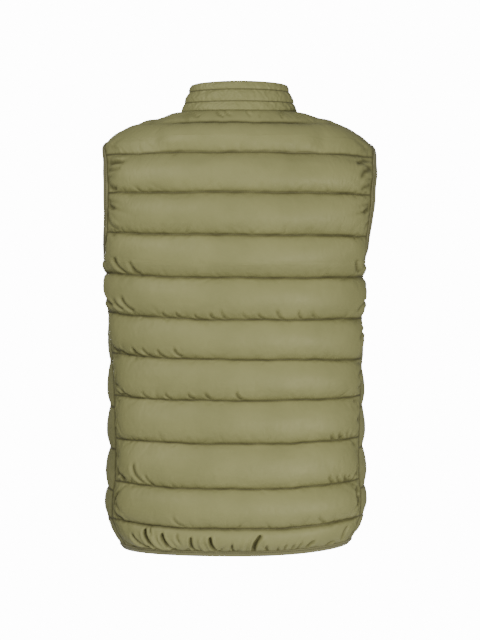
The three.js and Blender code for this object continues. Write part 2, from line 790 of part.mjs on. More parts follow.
// Solids that are joined or cut with each other.
const wasm = await Module();
wasm.setup();
function solidOf(geometry) {
  const bare = new THREE.BufferGeometry();
  const source = geometry.index ? geometry.toNonIndexed() : geometry;
  bare.setAttribute("position", source.getAttribute("position"));
  const merged = mergeVertices(bare, 1e-4);
  return new wasm.Manifold(
    new wasm.Mesh({
      numProp: 3,
      vertProperties: merged.attributes.position.array,
      triVerts: new Uint32Array(merged.index.array),
    }),
  );
}
function geometryOf(solid) {
  const mesh = solid.getMesh();
  const geometry = new THREE.BufferGeometry();
  geometry.setAttribute("position", new THREE.Float32BufferAttribute(mesh.vertProperties, mesh.numProp));
  geometry.setIndex(Array.from(mesh.triVerts));
  return geometry;
}
const box = (width, height, depth, y, z) => solidOf(new THREE.BoxGeometry(width, height, depth).translate(0, y, z));
const rodAcross = (radius, length, z, sides) =>
  solidOf(new THREE.CylinderGeometry(radius, radius, length, sides).rotateZ(Math.PI / 2).translate(0, 0, z));

// In the slider's own frame X runs across, Y up the zip and Z out of the garment, from the quilted level.
const chainFront = -cloth - zip.gap + zip.chain;
const plateBack = chainFront + 0.3;
const plateFront = plateBack + slider.plate;
const barHeight = plateFront + slider.barLift;

function sliderSolid() {
  const tapeBack = -cloth - zip.gap - zip.tape - 0.3;
  const front = solidOf(
    new RoundedBoxGeometry(slider.width, slider.length, slider.plate, 1, 0.5).translate(0, 0, (plateBack + plateFront) / 2),
  );
  const back = box(slider.width, slider.length, slider.plate, 0, tapeBack - slider.plate / 2);
  const wedge = box(slider.wedge, 4, plateFront - tapeBack + 0.6, 3, (plateFront + tapeBack) / 2 - 0.3);
  const earGap = pull.knuckleWidth + 0.8;
  const ear = (side) =>
    solidOf(
      new THREE.BoxGeometry(1.2, 3, slider.barLift + 1.6).translate(
        (side * (earGap + 1.2)) / 2,
        0,
        plateFront - 0.4 + (slider.barLift + 1.6) / 2,
      ),
    );
  const bar = rodAcross(slider.barRadius, earGap + 1, barHeight, 12);
  return [front, back, wedge, ear(1), ear(-1), bar].reduce((whole, piece) => whole.add(piece));
}

// The pull tab hangs down from the bar. Its frame has the hinge at the origin.
function pullSolid() {
  const knuckle = rodAcross(pull.knuckleRadius, pull.knuckleWidth, 0, 20);
  const hole = rodAcross(pull.holeRadius, pull.knuckleWidth + 2, 0, 16);
  const neck = box(pull.knuckleWidth, 5, pull.thickness, -3.6, 0);
  const plate = solidOf(
    new RoundedBoxGeometry(pull.width, pull.length - 5, pull.thickness, 1, 0.6).translate(0, -5 - (pull.length - 5) / 2, 0),
  );
  return knuckle.add(neck).add(plate).subtract(hole);
}

export const vest = new THREE.Group();
const colours = { shell: 0x98946c, binding: 0x8b8862, zip: 0x6f6c4e, metal: 0x5d5b45 };
const clothLook = (colour) => new THREE.MeshStandardMaterial({ color: colour, roughness: 0.62, metalness: 0 });
const metalLook = (colour) => new THREE.MeshStandardMaterial({ color: colour, roughness: 0.4, metalness: 0.6 });

function addPiece(name, geometry, material) {
  const piece = new THREE.Mesh(geometry, material);
  piece.name = name;
  vest.add(piece);
  return piece;
}

addPiece("back_panel", backPanel(), clothLook(colours.shell));
addPiece("left_front", frontPanel(1), clothLook(colours.shell));
addPiece("right_front", frontPanel(-1), clothLook(colours.shell));
addPiece("collar", collarWall(), clothLook(colours.shell));
addPiece("left_armhole_binding", armholeBinding(1), clothLook(colours.binding));
addPiece("right_armhole_binding", armholeBinding(-1), clothLook(colours.binding));
addPiece("hem_binding", hemBindingBar(), clothLook(colours.binding));
addPiece("left_zip", zipHalf(1), clothLook(colours.zip));
addPiece("right_zip", zipHalf(-1), clothLook(colours.zip));

// The slider and its pull are set on the collar's front, square to its slant.
const { base, slant, out } = collarColumns()[0];
const across = new THREE.Vector3().crossVectors(slant, out);
const turned = new THREE.Quaternion().setFromRotationMatrix(new THREE.Matrix4().makeBasis(across, slant, out));
const sliderPlace = base.clone().addScaledVector(slant, collarHeight - slider.top - slider.length / 2).setX(0);
const sliderPiece = addPiece("zip_slider", geometryOf(sliderSolid()), metalLook(colours.metal));
sliderPiece.position.copy(sliderPlace);
sliderPiece.quaternion.copy(turned);
const pullPiece = addPiece("zip_pull", geometryOf(pullSolid()), metalLook(colours.metal));
pullPiece.position.copy(sliderPlace).addScaledVector(out, barHeight);
pullPiece.quaternion.copy(turned);

export default vest;
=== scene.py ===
import math
import bpy
import numpy as np
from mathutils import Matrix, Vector


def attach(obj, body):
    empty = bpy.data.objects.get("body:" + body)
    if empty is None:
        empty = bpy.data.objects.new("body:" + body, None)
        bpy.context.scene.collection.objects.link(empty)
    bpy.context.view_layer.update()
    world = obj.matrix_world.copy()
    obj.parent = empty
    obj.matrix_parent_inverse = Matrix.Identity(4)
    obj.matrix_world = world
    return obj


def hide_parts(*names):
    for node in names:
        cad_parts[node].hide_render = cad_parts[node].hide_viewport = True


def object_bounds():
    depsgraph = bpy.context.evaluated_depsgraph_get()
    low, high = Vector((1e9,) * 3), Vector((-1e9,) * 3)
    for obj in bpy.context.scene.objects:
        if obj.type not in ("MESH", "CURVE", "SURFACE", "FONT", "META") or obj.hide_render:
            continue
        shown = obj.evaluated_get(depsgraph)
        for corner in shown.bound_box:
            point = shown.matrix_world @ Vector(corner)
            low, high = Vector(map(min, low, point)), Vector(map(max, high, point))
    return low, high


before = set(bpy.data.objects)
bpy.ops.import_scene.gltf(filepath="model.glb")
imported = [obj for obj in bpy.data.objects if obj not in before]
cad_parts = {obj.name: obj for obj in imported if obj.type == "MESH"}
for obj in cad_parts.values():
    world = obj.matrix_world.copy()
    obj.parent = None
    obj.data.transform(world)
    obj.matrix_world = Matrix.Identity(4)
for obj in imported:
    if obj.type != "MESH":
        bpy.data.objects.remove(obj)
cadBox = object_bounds()
bpy.ops.object.select_all(action="DESELECT")

# ---- camera: behind the vest, at the height of its chest
photoCamera = {
    "place": (-0.0008, 2.650, -0.200),
    "tiltDown": 2.73,  # degrees
    "lens": 94.4,
}
bpy.ops.object.camera_add(
    location=photoCamera["place"],
    rotation=(math.radians(90 - photoCamera["tiltDown"]), 0, math.radians(180)),
)
camera = bpy.context.object
camera.data.sensor_width = 36
camera.data.lens = photoCamera["lens"]
camera.data.clip_start = 0.05
bpy.context.scene.camera = camera
print("camera set")

# ---- the cut of the vest, in millimetres, as the CAD solids have it
vest = {
    "cloth": 2.0,
    "padding": 13.0,
    "seamGap": 0.4,
    "seamOverlap": 0.6,  # the panels meet in the seams, with no light between them
    "shoulderSeamForward": 8.0,
    "zipOpening": 14.0,
    "hemGap": 0.7,
    "hemBinding": 8.0,
    "bindingWidth": 7.0,
}
armhole = {"top": -50.0, "bottom": -229.0, "middle": -4.0, "behind": 61.0, "ahead": 63.0, "square": 2.2, "topMargin": 0.65}
neckline = {"halfWidth": 89.0, "frontDrop": 72.0}

# level, left, right, behind, ahead, squareness
rings = [
    (0, 89, 88, 58, 52, 2),
    (-4.5, 104, 102.5, 63, 42, 2.05),
    (-10, 124, 122.5, 68, 45, 2.1),
    (-16, 144, 142, 74, 50, 2.15),
    (-22.5, 162, 157, 79, 55, 2.2),
    (-31.5, 182, 176, 84, 61, 2.25),
    (-42, 201, 196, 88, 66, 2.3),
    (-54, 215, 213, 92, 71, 2.3),
    (-72, 221, 222, 98, 81, 2.35),
    (-100, 227, 229, 107, 94, 2.4),
    (-131, 229, 229, 113, 103, 2.4),
    (-165, 227, 223, 117, 110, 2.4),
    (-194, 223, 213, 118, 114, 2.4),
    (-210, 219, 207, 118, 116, 2.4),
    (-230, 213, 197, 117, 118, 2.4),
    (-258, 210, 194, 114, 119, 2.4),
    (-321, 207, 193, 108, 119, 2.45),
    (-382, 204, 193, 103, 116, 2.45),
    (-445, 204, 194, 101, 114, 2.45),
    (-511, 204, 194, 103, 113, 2.45),
    (-578, 206, 196, 106, 113, 2.4),
    (-609, 209, 198, 107, 112, 2.4),
    (-639, 209, 197, 104, 109, 2.4),
    (-660, 201, 190, 97, 102, 2.35),
    (-677, 190, 179, 91, 95, 2.3),
    (-688, 183, 171, 88, 92, 2.3),
]
# quilt lines: level, fullness of the baffle below, rise at the left side, rise at the right side,
# sag of the baffle below (over 1 its fullest part hangs low)
backLines = [
    (0, 0.2, 0, 0, 1.2),
    (-21, 0.8, 0, 0, 1.2),
    (-67, 1, -2, -6, 1.2),
    (-128, 1, 0, -4, 1.0),
    (-192, 1, 5, -3, 0.9),
    (-257, 1, 6, 0, 1.0),
    (-321, 1, 9, 0, 1.2),
    (-382, 1, 7, -3, 1.3),
    (-445, 1, 4, 3, 1.4),
    (-511, 1, 4, 5, 1.45),
    (-580, 1, 6, 9, 1.3),
    (-641, 0.75, 8, 12, 0.9),
    (-678, 0, 0, 8, 1),
]
# the fronts: level, fullness of the baffle below, its sag
frontLines = [
    (0, 0.2, 1.2),
    (-30, 0.8, 1.3),
    (-72, 1, 1.3),
    (-134, 1, 1.2),
    (-198, 1, 1.2),
    (-262, 1, 1.25),
    (-327, 1, 1.25),
    (-396, 1, 1.3),
    (-464, 1, 1.3),
    (-530, 1, 1.3),
    (-597, 0.9, 1.2),
    (-643, 0.75, 1.0),
    (-678, 0, 1),
]
# side seams: level, left depth, right depth
sideSeams = [(-229, 0, 0), (-321, 20, 14), (-445, 40, 32), (-578, 46, 42), (-688, 36, 36)]


def smooth(share):
    t = np.clip(share, 0, 1)
    return t * t * (3 - 2 * t)


def mix(a, b, share):
    return a + (b - a) * share


def roundFrom(distance, reach):
    return 1 - (1 - np.clip(distance / reach, 0, 1)) ** 2.4


def curveThrough(rows, column):
    x = -np.array([row[0] for row in rows], float)
    y = np.array([row[column] for row in rows], float)
    slope = np.diff(y) / np.diff(x)
    tangent = np.zeros(len(y))
    tangent[0], tangent[-1] = slope[0], slope[-1]
    for i in range(1, len(y) - 1):
        if slope[i - 1] * slope[i] > 0:
            tangent[i] = 2 * slope[i - 1] * slope[i] / (slope[i - 1] + slope[i])

    def at(level):
        v = min(max(-level, x[0]), x[-1])
        i = int(np.clip(np.searchsorted(x, v) - 1, 0, len(x) - 2))
        width = x[i + 1] - x[i]
        t = (v - x[i]) / width
        return float(
            (2 * t**3 - 3 * t**2 + 1) * y[i]
            + (t**3 - 2 * t**2 + t) * width * tangent[i]
            + (3 * t**2 - 2 * t**3) * y[i + 1]
            + (t**3 - t**2) * width * tangent[i + 1]
        )

    return at


ringCurves = [curveThrough(rings, column) for column in range(1, 6)]
riseLeft, riseRight = curveThrough(backLines, 2), curveThrough(backLines, 3)
seamDepth = {1: curveThrough(sideSeams, 1), -1: curveThrough(sideSeams, 2)}
ringsMade = {}


def ringAt(level):
    key = round(level, 4)
    if key not in ringsMade:
        left, right, behind, ahead, square = [curve(level) for curve in ringCurves]
        angle = np.linspace(-np.pi, np.pi, 721)
        across, back = np.sin(angle), np.cos(angle)
        power = 2 / square
        x = np.where(across >= 0, left, right) * np.sign(across) * np.abs(across) ** power
        y = np.where(back >= 0, behind, ahead) * np.sign(back) * np.abs(back) ** power
        arcs = np.concatenate([[0], np.cumsum(np.hypot(np.diff(x), np.diff(y)))])
        ringsMade[key] = {"x": x, "y": y, "arcs": arcs - arcs[360], "left": left, "right": right, "ahead": ahead}
    return ringsMade[key]


def clothPoints(level, arcs):
    ring = ringAt(level)
    x = np.interp(arcs, ring["arcs"], ring["x"])
    y = np.interp(arcs, ring["arcs"], ring["y"])
    share = np.abs(x) / np.where(x >= 0, ring["left"], ring["right"])
    rise = np.where(x >= 0, riseLeft(level), riseRight(level))
    back = np.where(y < 0, 1 - smooth(-y / ring["ahead"]), 1.0)
    return np.stack([x, y, level + rise * share**2 * back], 1)


def clothNormals(level, arcs):
    along = clothPoints(level, arcs + 1.5) - clothPoints(level, arcs - 1.5)
    down = clothPoints(level - 1.5, arcs) - clothPoints(level + 1.5, arcs)
    normal = np.cross(along, down)
    return normal / np.linalg.norm(normal, axis=1)[:, None]


def arcAtDepth(level, side, depth):
    ring = ringAt(level)
    y = ring["y"][360:] if side > 0 else ring["y"][360::-1]
    arcs = ring["arcs"][360:] if side > 0 else ring["arcs"][360::-1]
    return float(np.interp(-depth, -y, arcs))


def arcNearFront(level, side, across):
    ring = ringAt(level)
    x = np.abs(ring["x"][540:][::-1] if side > 0 else ring["x"][:181])
    arcs = ring["arcs"][540:][::-1] if side > 0 else ring["arcs"][:181]
    order = np.argsort(x)
    return float(np.interp(across, x[order], arcs[order]))


panelMargin = vest["bindingWidth"] + vest["seamGap"]
ovalCentre = (armhole["top"] + armhole["bottom"]) / 2
ovalHalf = (armhole["top"] - armhole["bottom"]) / 2


def ovalTall(above, margin):
    return ovalHalf + margin * (armhole["topMargin"] if above else 1)


armholeTop = ovalCentre + ovalTall(True, panelMargin)
armholeBottom = ovalCentre - ovalTall(False, panelMargin)


def ovalLine(level, side):
    share = float(np.clip((armholeTop - level) / (armholeTop - armholeBottom), 0, 1))
    if share < 0.5:
        return mix(-vest["shoulderSeamForward"], armhole["middle"], share * 2)
    return mix(armhole["middle"], seamDepth[side](armholeBottom), share * 2 - 1)


def ovalPoint(rowLevel, side, behind, margin):
    above = rowLevel > ovalCentre
    height = (rowLevel - ovalCentre) / ovalTall(above, panelMargin)
    half = armhole["behind" if behind else "ahead"] + margin
    width = max(0.0, 1 - abs(height) ** armhole["square"]) ** (1 / armhole["square"])
    return ovalCentre + height * ovalTall(above, margin), ovalLine(rowLevel, side) + (1 if behind else -1) * half * width


def awayFromArmhole(level, arcs):
    ring = ringAt(level)
    x = np.interp(arcs, ring["arcs"], ring["x"])
    depth = np.interp(arcs, ring["arcs"], ring["y"])
    middle = np.where(x > 0, ovalLine(level, 1), ovalLine(level, -1))
    half = np.where(depth > middle, armhole["behind"], armhole["ahead"]) + panelMargin
    across = np.abs(depth - middle) / half
    tall = abs(level - ovalCentre) / ovalTall(level > ovalCentre, panelMargin)
    size = (across ** armhole["square"] + tall ** armhole["square"]) ** (1 / armhole["square"])
    away = np.hypot(depth - middle, level - ovalCentre) * np.maximum(0, 1 - 1 / np.maximum(size, 1e-6))
    return away, np.arctan2(depth - middle, level - ovalCentre) * armhole["behind"]


def seamArc(level, side):
    # where a row would end if there were no armhole: at the shoulder seam, then the side seam
    if level >= armholeTop:
        return arcAtDepth(level, side, -vest["shoulderSeamForward"])
    if level > armholeBottom:
        return arcAtDepth(level, side, ovalLine(level, side))
    return arcAtDepth(level, side, seamDepth[side](level))


def outerArc(level, side, behind):
    gap = (side if behind else -side) * vest["seamOverlap"] / 2
    if armholeBottom < level < armholeTop:
        return arcAtDepth(level, side, ovalPoint(level, side, behind, panelMargin)[1]) + gap
    return seamArc(level, side) + gap


def innerArc(level, side):
    share = min(max(-level / neckline["frontDrop"], 0), 1)
    across = neckline["halfWidth"] * math.sqrt(1 - share**2)
    return arcNearFront(level, side, max(vest["zipOpening"] / 2, across))


def baffleAt(level, lines):
    i = 0
    while i < len(lines) - 2 and level < lines[i + 1][0] - 1e-6:
        i += 1
    height = lines[i][0] - lines[i + 1][0]
    return min(max((lines[i][0] - level) / height, 0), 1), lines[i][1], lines[i][-1]


def puffAt(share, fullness, sag):
    low = share**sag
    return fullness * (4 * low * (1 - low)) ** 0.62


def rowLevels(lines, top, rowHeight, extra):
    # rows stand closer near the quilt lines, where the cloth turns
    levels = [top, lines[-1][0]]
    for upper, lower in zip(lines, lines[1:]):
        height = upper[0] - lower[0]
        count = max(6, 2 * round(height / rowHeight / 2))
        for k in range(count):
            even = k / count
            tight = 0.5 - 0.5 * math.cos(math.pi * even)
            levels.append(upper[0] - height * mix(even, tight, 0.55))
    kept = [level for level in levels if level <= top and all(abs(level - e) > 0.7 or level in [l[0] for l in lines] for e in extra)]
    kept += [e for e in extra if e < top and all(abs(e - l[0]) > 0.7 for l in lines)]
    return sorted(set(kept), reverse=True)


# ---- the puffed form of a panel
quilting = {
    "rowHeight": 4.2,
    "columnWidth": 4.2,
    "sideReachBack": 55.0,
    "sideReachFront": 110.0,
    "zipReach": 40.0,
    "armholeReach": 30.0,
    "topSeamEnds": 100.0,  # either side, where the highest quilt line starts to run out
    "topSeamFade": 30.0,
    "topFullness": 0.3,
}
nearArmhole = [armholeTop, armholeTop - 0.7, armholeTop - 2.2, armholeTop - 4.6, armholeTop - 8]
nearArmhole += [armholeBottom, armholeBottom + 0.7, armholeBottom + 2.2, armholeBottom + 4.6, armholeBottom + 8]
nearNeck = [-1.2, -67.5, -70.4, -71.7]


def panelGrid(kind, levels, columns):
    lines = backLines if kind == "back" else frontLines
    rows = {key: [] for key in ("flat", "normal", "lift", "arc", "away", "round", "fromSide", "fromZip")}
    for level in levels:
        if kind == "back":
            ends = [outerArc(level, side, True) for side in (-1, 1)]
            seams = [seamArc(level, side) for side in (-1, 1)]
            shares = np.linspace(-1, 1, columns)
            outwards = smooth((np.abs(shares) - 0.35) / 0.65)
            wide = np.where(shares < 0, -seams[0], seams[1])
            short = np.where(shares < 0, seams[0] - ends[0], seams[1] - ends[1])
            arcs = shares * wide - short * outwards
            fromSide = np.minimum(arcs - ends[0], ends[1] - arcs)
            sidePinch = roundFrom(fromSide, quilting["sideReachBack"])
            fromZip = np.full(columns, 999.0)
        else:
            side = 1 if kind == "left" else -1
            shares = np.linspace(0, 1, columns)  # from the zip to the side
            inner, outer = innerArc(level, side), outerArc(level, side, False)
            zipSide = arcNearFront(level, side, vest["zipOpening"] / 2)
            seam = seamArc(level, side)
            arcs = mix(zipSide, seam, shares) + (inner - zipSide) * (1 - smooth(shares / 0.8))
            arcs = arcs + (outer - seam) * smooth((shares - 0.3) / 0.7)
            fromSide = np.abs(arcs - outer)
            sidePinch = smooth(fromSide / quilting["sideReachFront"])
            fromZip = np.abs(arcs - inner)
        away, around = awayFromArmhole(level, arcs)
        shoulder = mix(1, roundFrom(fromSide, 22), float(smooth((level - armholeTop) / 12)))
        pinch = shoulder * mix(1, sidePinch, float(smooth((armholeBottom - level) / 45)))
        flat = clothPoints(level, arcs)
        puff = puffAt(*baffleAt(level, lines))
        if level > lines[2][0]:
            out = smooth((np.abs(flat[:, 0]) - quilting["topSeamEnds"]) / quilting["topSeamFade"])
            puff = mix(puff, puffAt(level / lines[2][0], quilting["topFullness"], 1.2), out)
        lift = vest["padding"] * puff * pinch * roundFrom(fromZip, quilting["zipReach"]) * roundFrom(away, quilting["armholeReach"])
        found = (flat, clothNormals(level, arcs), lift, arcs, away, around, fromSide, fromZip)
        for key, value in zip(rows, found):
            rows[key].append(value)
    grid = {key: np.array(value) for key, value in rows.items()}
    grid["level"] = np.array(levels)[:, None] * np.ones((1, columns))
    return grid


def gridMesh(name, places):
    rows, columns = places.shape[:2]
    mesh = bpy.data.meshes.new(name)
    index = np.arange(rows * columns).reshape(rows, columns)
    quads = np.stack([index[:-1, :-1], index[1:, :-1], index[1:, 1:], index[:-1, 1:]], 2).reshape(-1, 4)
    mesh.from_pydata((places.reshape(-1, 3) / 1000).tolist(), [], quads.tolist())
    mesh.update()
    piece = bpy.data.objects.new(name, mesh)
    bpy.context.collection.objects.link(piece)
    return piece


# ---- blowing up the padding with cloth simulation
puffing = {
    "pressure": 3.0,
    "ease": -0.008,  # the cloth is this much wider than its seams
    "frames": 16,
    "furthest": 5.0,  # mm that a point may move
    "seed": 3,
    "wrinkledSides": 40.0,  # mm from a side over which the simulated wrinkles stay sharp
    "wrinkledMiddle": 0.25,
}


def smoothAcross(values, reach):
    padded = np.concatenate([values[:, :1]] * reach + [values] + [values[:, -1:]] * reach, 1)
    total = np.cumsum(np.concatenate([np.zeros_like(padded[:, :1]), padded], 1), 1)
    return (total[:, 2 * reach + 1:] - total[:, :-2 * reach - 1]) / (2 * reach + 1)



def puffedOffsets(name, places, outwards, sewn, settings):
    rows, columns = places.shape[:2]
    rng = np.random.default_rng(settings["seed"])
    bumps = np.where(sewn, 0, rng.normal(0, 0.2, sewn.shape))
    piece = gridMesh(name, places + outwards * bumps[..., None])
    facing = np.cross(places[1:, :-1] - places[:-1, :-1], places[:-1, 1:] - places[:-1, :-1])
    if (facing * outwards[:-1, :-1]).sum() < 0:
        piece.data.flip_normals()
    group = piece.vertex_groups.new(name="sewn")
    group.add(np.nonzero(sewn.reshape(-1))[0].tolist(), 1.0, "REPLACE")
    cloth = piece.modifiers.new("Cloth", "CLOTH")
    fabric = cloth.settings
    fabric.quality = 6
    fabric.mass = 0.15
    fabric.air_damping = 1.0
    fabric.tension_stiffness = 30
    fabric.compression_stiffness = 30
    fabric.shear_stiffness = 12
    fabric.bending_stiffness = 0.8
    fabric.tension_damping = 12
    fabric.compression_damping = 12
    fabric.shear_damping = 8
    fabric.bending_damping = 0.5
    fabric.vertex_group_mass = "sewn"
    fabric.pin_stiffness = 1
    fabric.use_pressure = True
    fabric.uniform_pressure_force = settings["pressure"]
    fabric.shrink_min = settings["ease"]
    fabric.effector_weights.gravity = 0
    cloth.collision_settings.use_collision = False
    cloth.point_cache.frame_start = 1
    cloth.point_cache.frame_end = settings["frames"]
    scene = bpy.context.scene
    for step in range(1, settings["frames"] + 1):
        scene.frame_set(step)
    bpy.context.view_layer.objects.active = piece
    bpy.ops.object.select_all(action="DESELECT")
    piece.select_set(True)
    bpy.ops.object.modifier_apply(modifier="Cloth")
    moved = np.empty(rows * columns * 3)
    piece.data.vertices.foreach_get("co", moved)
    moved = moved.reshape(rows, columns, 3) * 1000 - places
    far = np.linalg.norm(moved, axis=2, keepdims=True)
    moved = moved * np.minimum(1, settings["furthest"] / np.maximum(far, 1e-6))
    print(name, "puffed, furthest", round(float(far.max()), 1), "mm, mean", round(float(far.mean()), 2), "mm")
    mesh = piece.data
    bpy.data.objects.remove(piece)
    bpy.data.meshes.remove(mesh)
    scene.frame_set(1)
    return moved


def doubled(values, axis):
    # a value between each two neighbours along an axis, from the cubic through four of them
    v = np.moveaxis(values, axis, 0)
    padded = np.concatenate([2 * v[:1] - v[1:2], v, 2 * v[-1:] - v[-2:-1]])
    between = (-padded[:-3] + 9 * padded[1:-2] + 9 * padded[2:-1] - padded[3:]) / 16
    out = np.empty((2 * len(v) - 1,) + v.shape[1:])
    out[0::2] = v
    out[1::2] = between
    return np.moveaxis(out, 0, axis)


def doubledBetween(values, stops):
    # the same down the rows, but from one quilt line to the next
    parts = []
    for a, b in zip(stops, stops[1:]):
        part = doubled(values[a:b + 1], 0)
        parts.append(part if not parts else part[1:])
    return np.concatenate(parts)


def joinRows(faces, places, first, second):
    # two rows of points that run the same way are joined across the shorter gap
    i = j = 0
    while i < len(first) - 1 or j < len(second) - 1:
        a = np.linalg.norm(places[first[i + 1]] - places[second[j]]) if i < len(first) - 1 else np.inf
        b = np.linalg.norm(places[first[i]] - places[second[j + 1]]) if j < len(second) - 1 else np.inf
        if a <= b:
            faces.append((first[i], first[i + 1], second[j]))
            i += 1
        else:
            faces.append((first[i], second[j + 1], second[j]))
            j += 1


def wallMesh(name, outer, inner, uv, paintedShade, thinning):
    rows, columns = outer.shape[:2]
    pick = lambda count: sorted(set(list(range(0, count, thinning)) + [count - 1]))
    innerRows, innerColumns = pick(rows), pick(columns)
    innerPart = inner[np.ix_(innerRows, innerColumns)]
    places = np.concatenate([outer.reshape(-1, 3), innerPart.reshape(-1, 3)])
    a = np.arange(rows * columns).reshape(rows, columns)
    b = np.arange(innerPart.shape[0] * innerPart.shape[1]).reshape(innerPart.shape[:2]) + rows * columns
    quads = np.stack([a[:-1, :-1], a[1:, :-1], a[1:, 1:], a[:-1, 1:]], 2).reshape(-1, 4).tolist()
    quads += np.stack([b[:-1, :-1], b[:-1, 1:], b[1:, 1:], b[1:, :-1]], 2).reshape(-1, 4).tolist()
    rims = []
    joinRows(rims, places, a[0].tolist(), b[0].tolist())
    joinRows(rims, places, b[-1].tolist(), a[-1].tolist())
    joinRows(rims, places, b[:, 0].tolist(), a[:, 0].tolist())
    joinRows(rims, places, a[:, -1].tolist(), b[:, -1].tolist())
    mesh = bpy.data.meshes.new(name)
    mesh.from_pydata((places / 1000).tolist(), [], quads + rims)
    mesh.update()
    corners = np.empty(len(mesh.loops), dtype=np.int64)
    mesh.loops.foreach_get("vertex_index", corners)
    allUv = np.concatenate([uv.reshape(-1, 2), uv[np.ix_(innerRows, innerColumns)].reshape(-1, 2)]) / 1000
    layer = mesh.uv_layers.new(name="cloth")
    layer.data.foreach_set("uv", allUv[corners].astype(np.float32).reshape(-1))
    # the painted shade is stored on the points for the material to darken the colour
    shade = mesh.attributes.new("paintedShade", "FLOAT", "POINT")
    innerShade = paintedShade[np.ix_(innerRows, innerColumns)].reshape(-1)
    shade.data.foreach_set("value", np.concatenate([paintedShade.reshape(-1), innerShade]).astype(np.float32))
    v = places[np.array(quads)[:, [0, 1, 2]]]
    volume = np.einsum("ij,ij->i", v[:, 0], np.cross(v[:, 1], v[:, 2])).sum()
    if volume < 0:
        mesh.flip_normals()
    mesh.polygons.foreach_set("use_smooth", np.ones(len(mesh.polygons), dtype=bool))
    piece = bpy.data.objects.new(name, mesh)
    bpy.context.collection.objects.link(piece)
    return piece
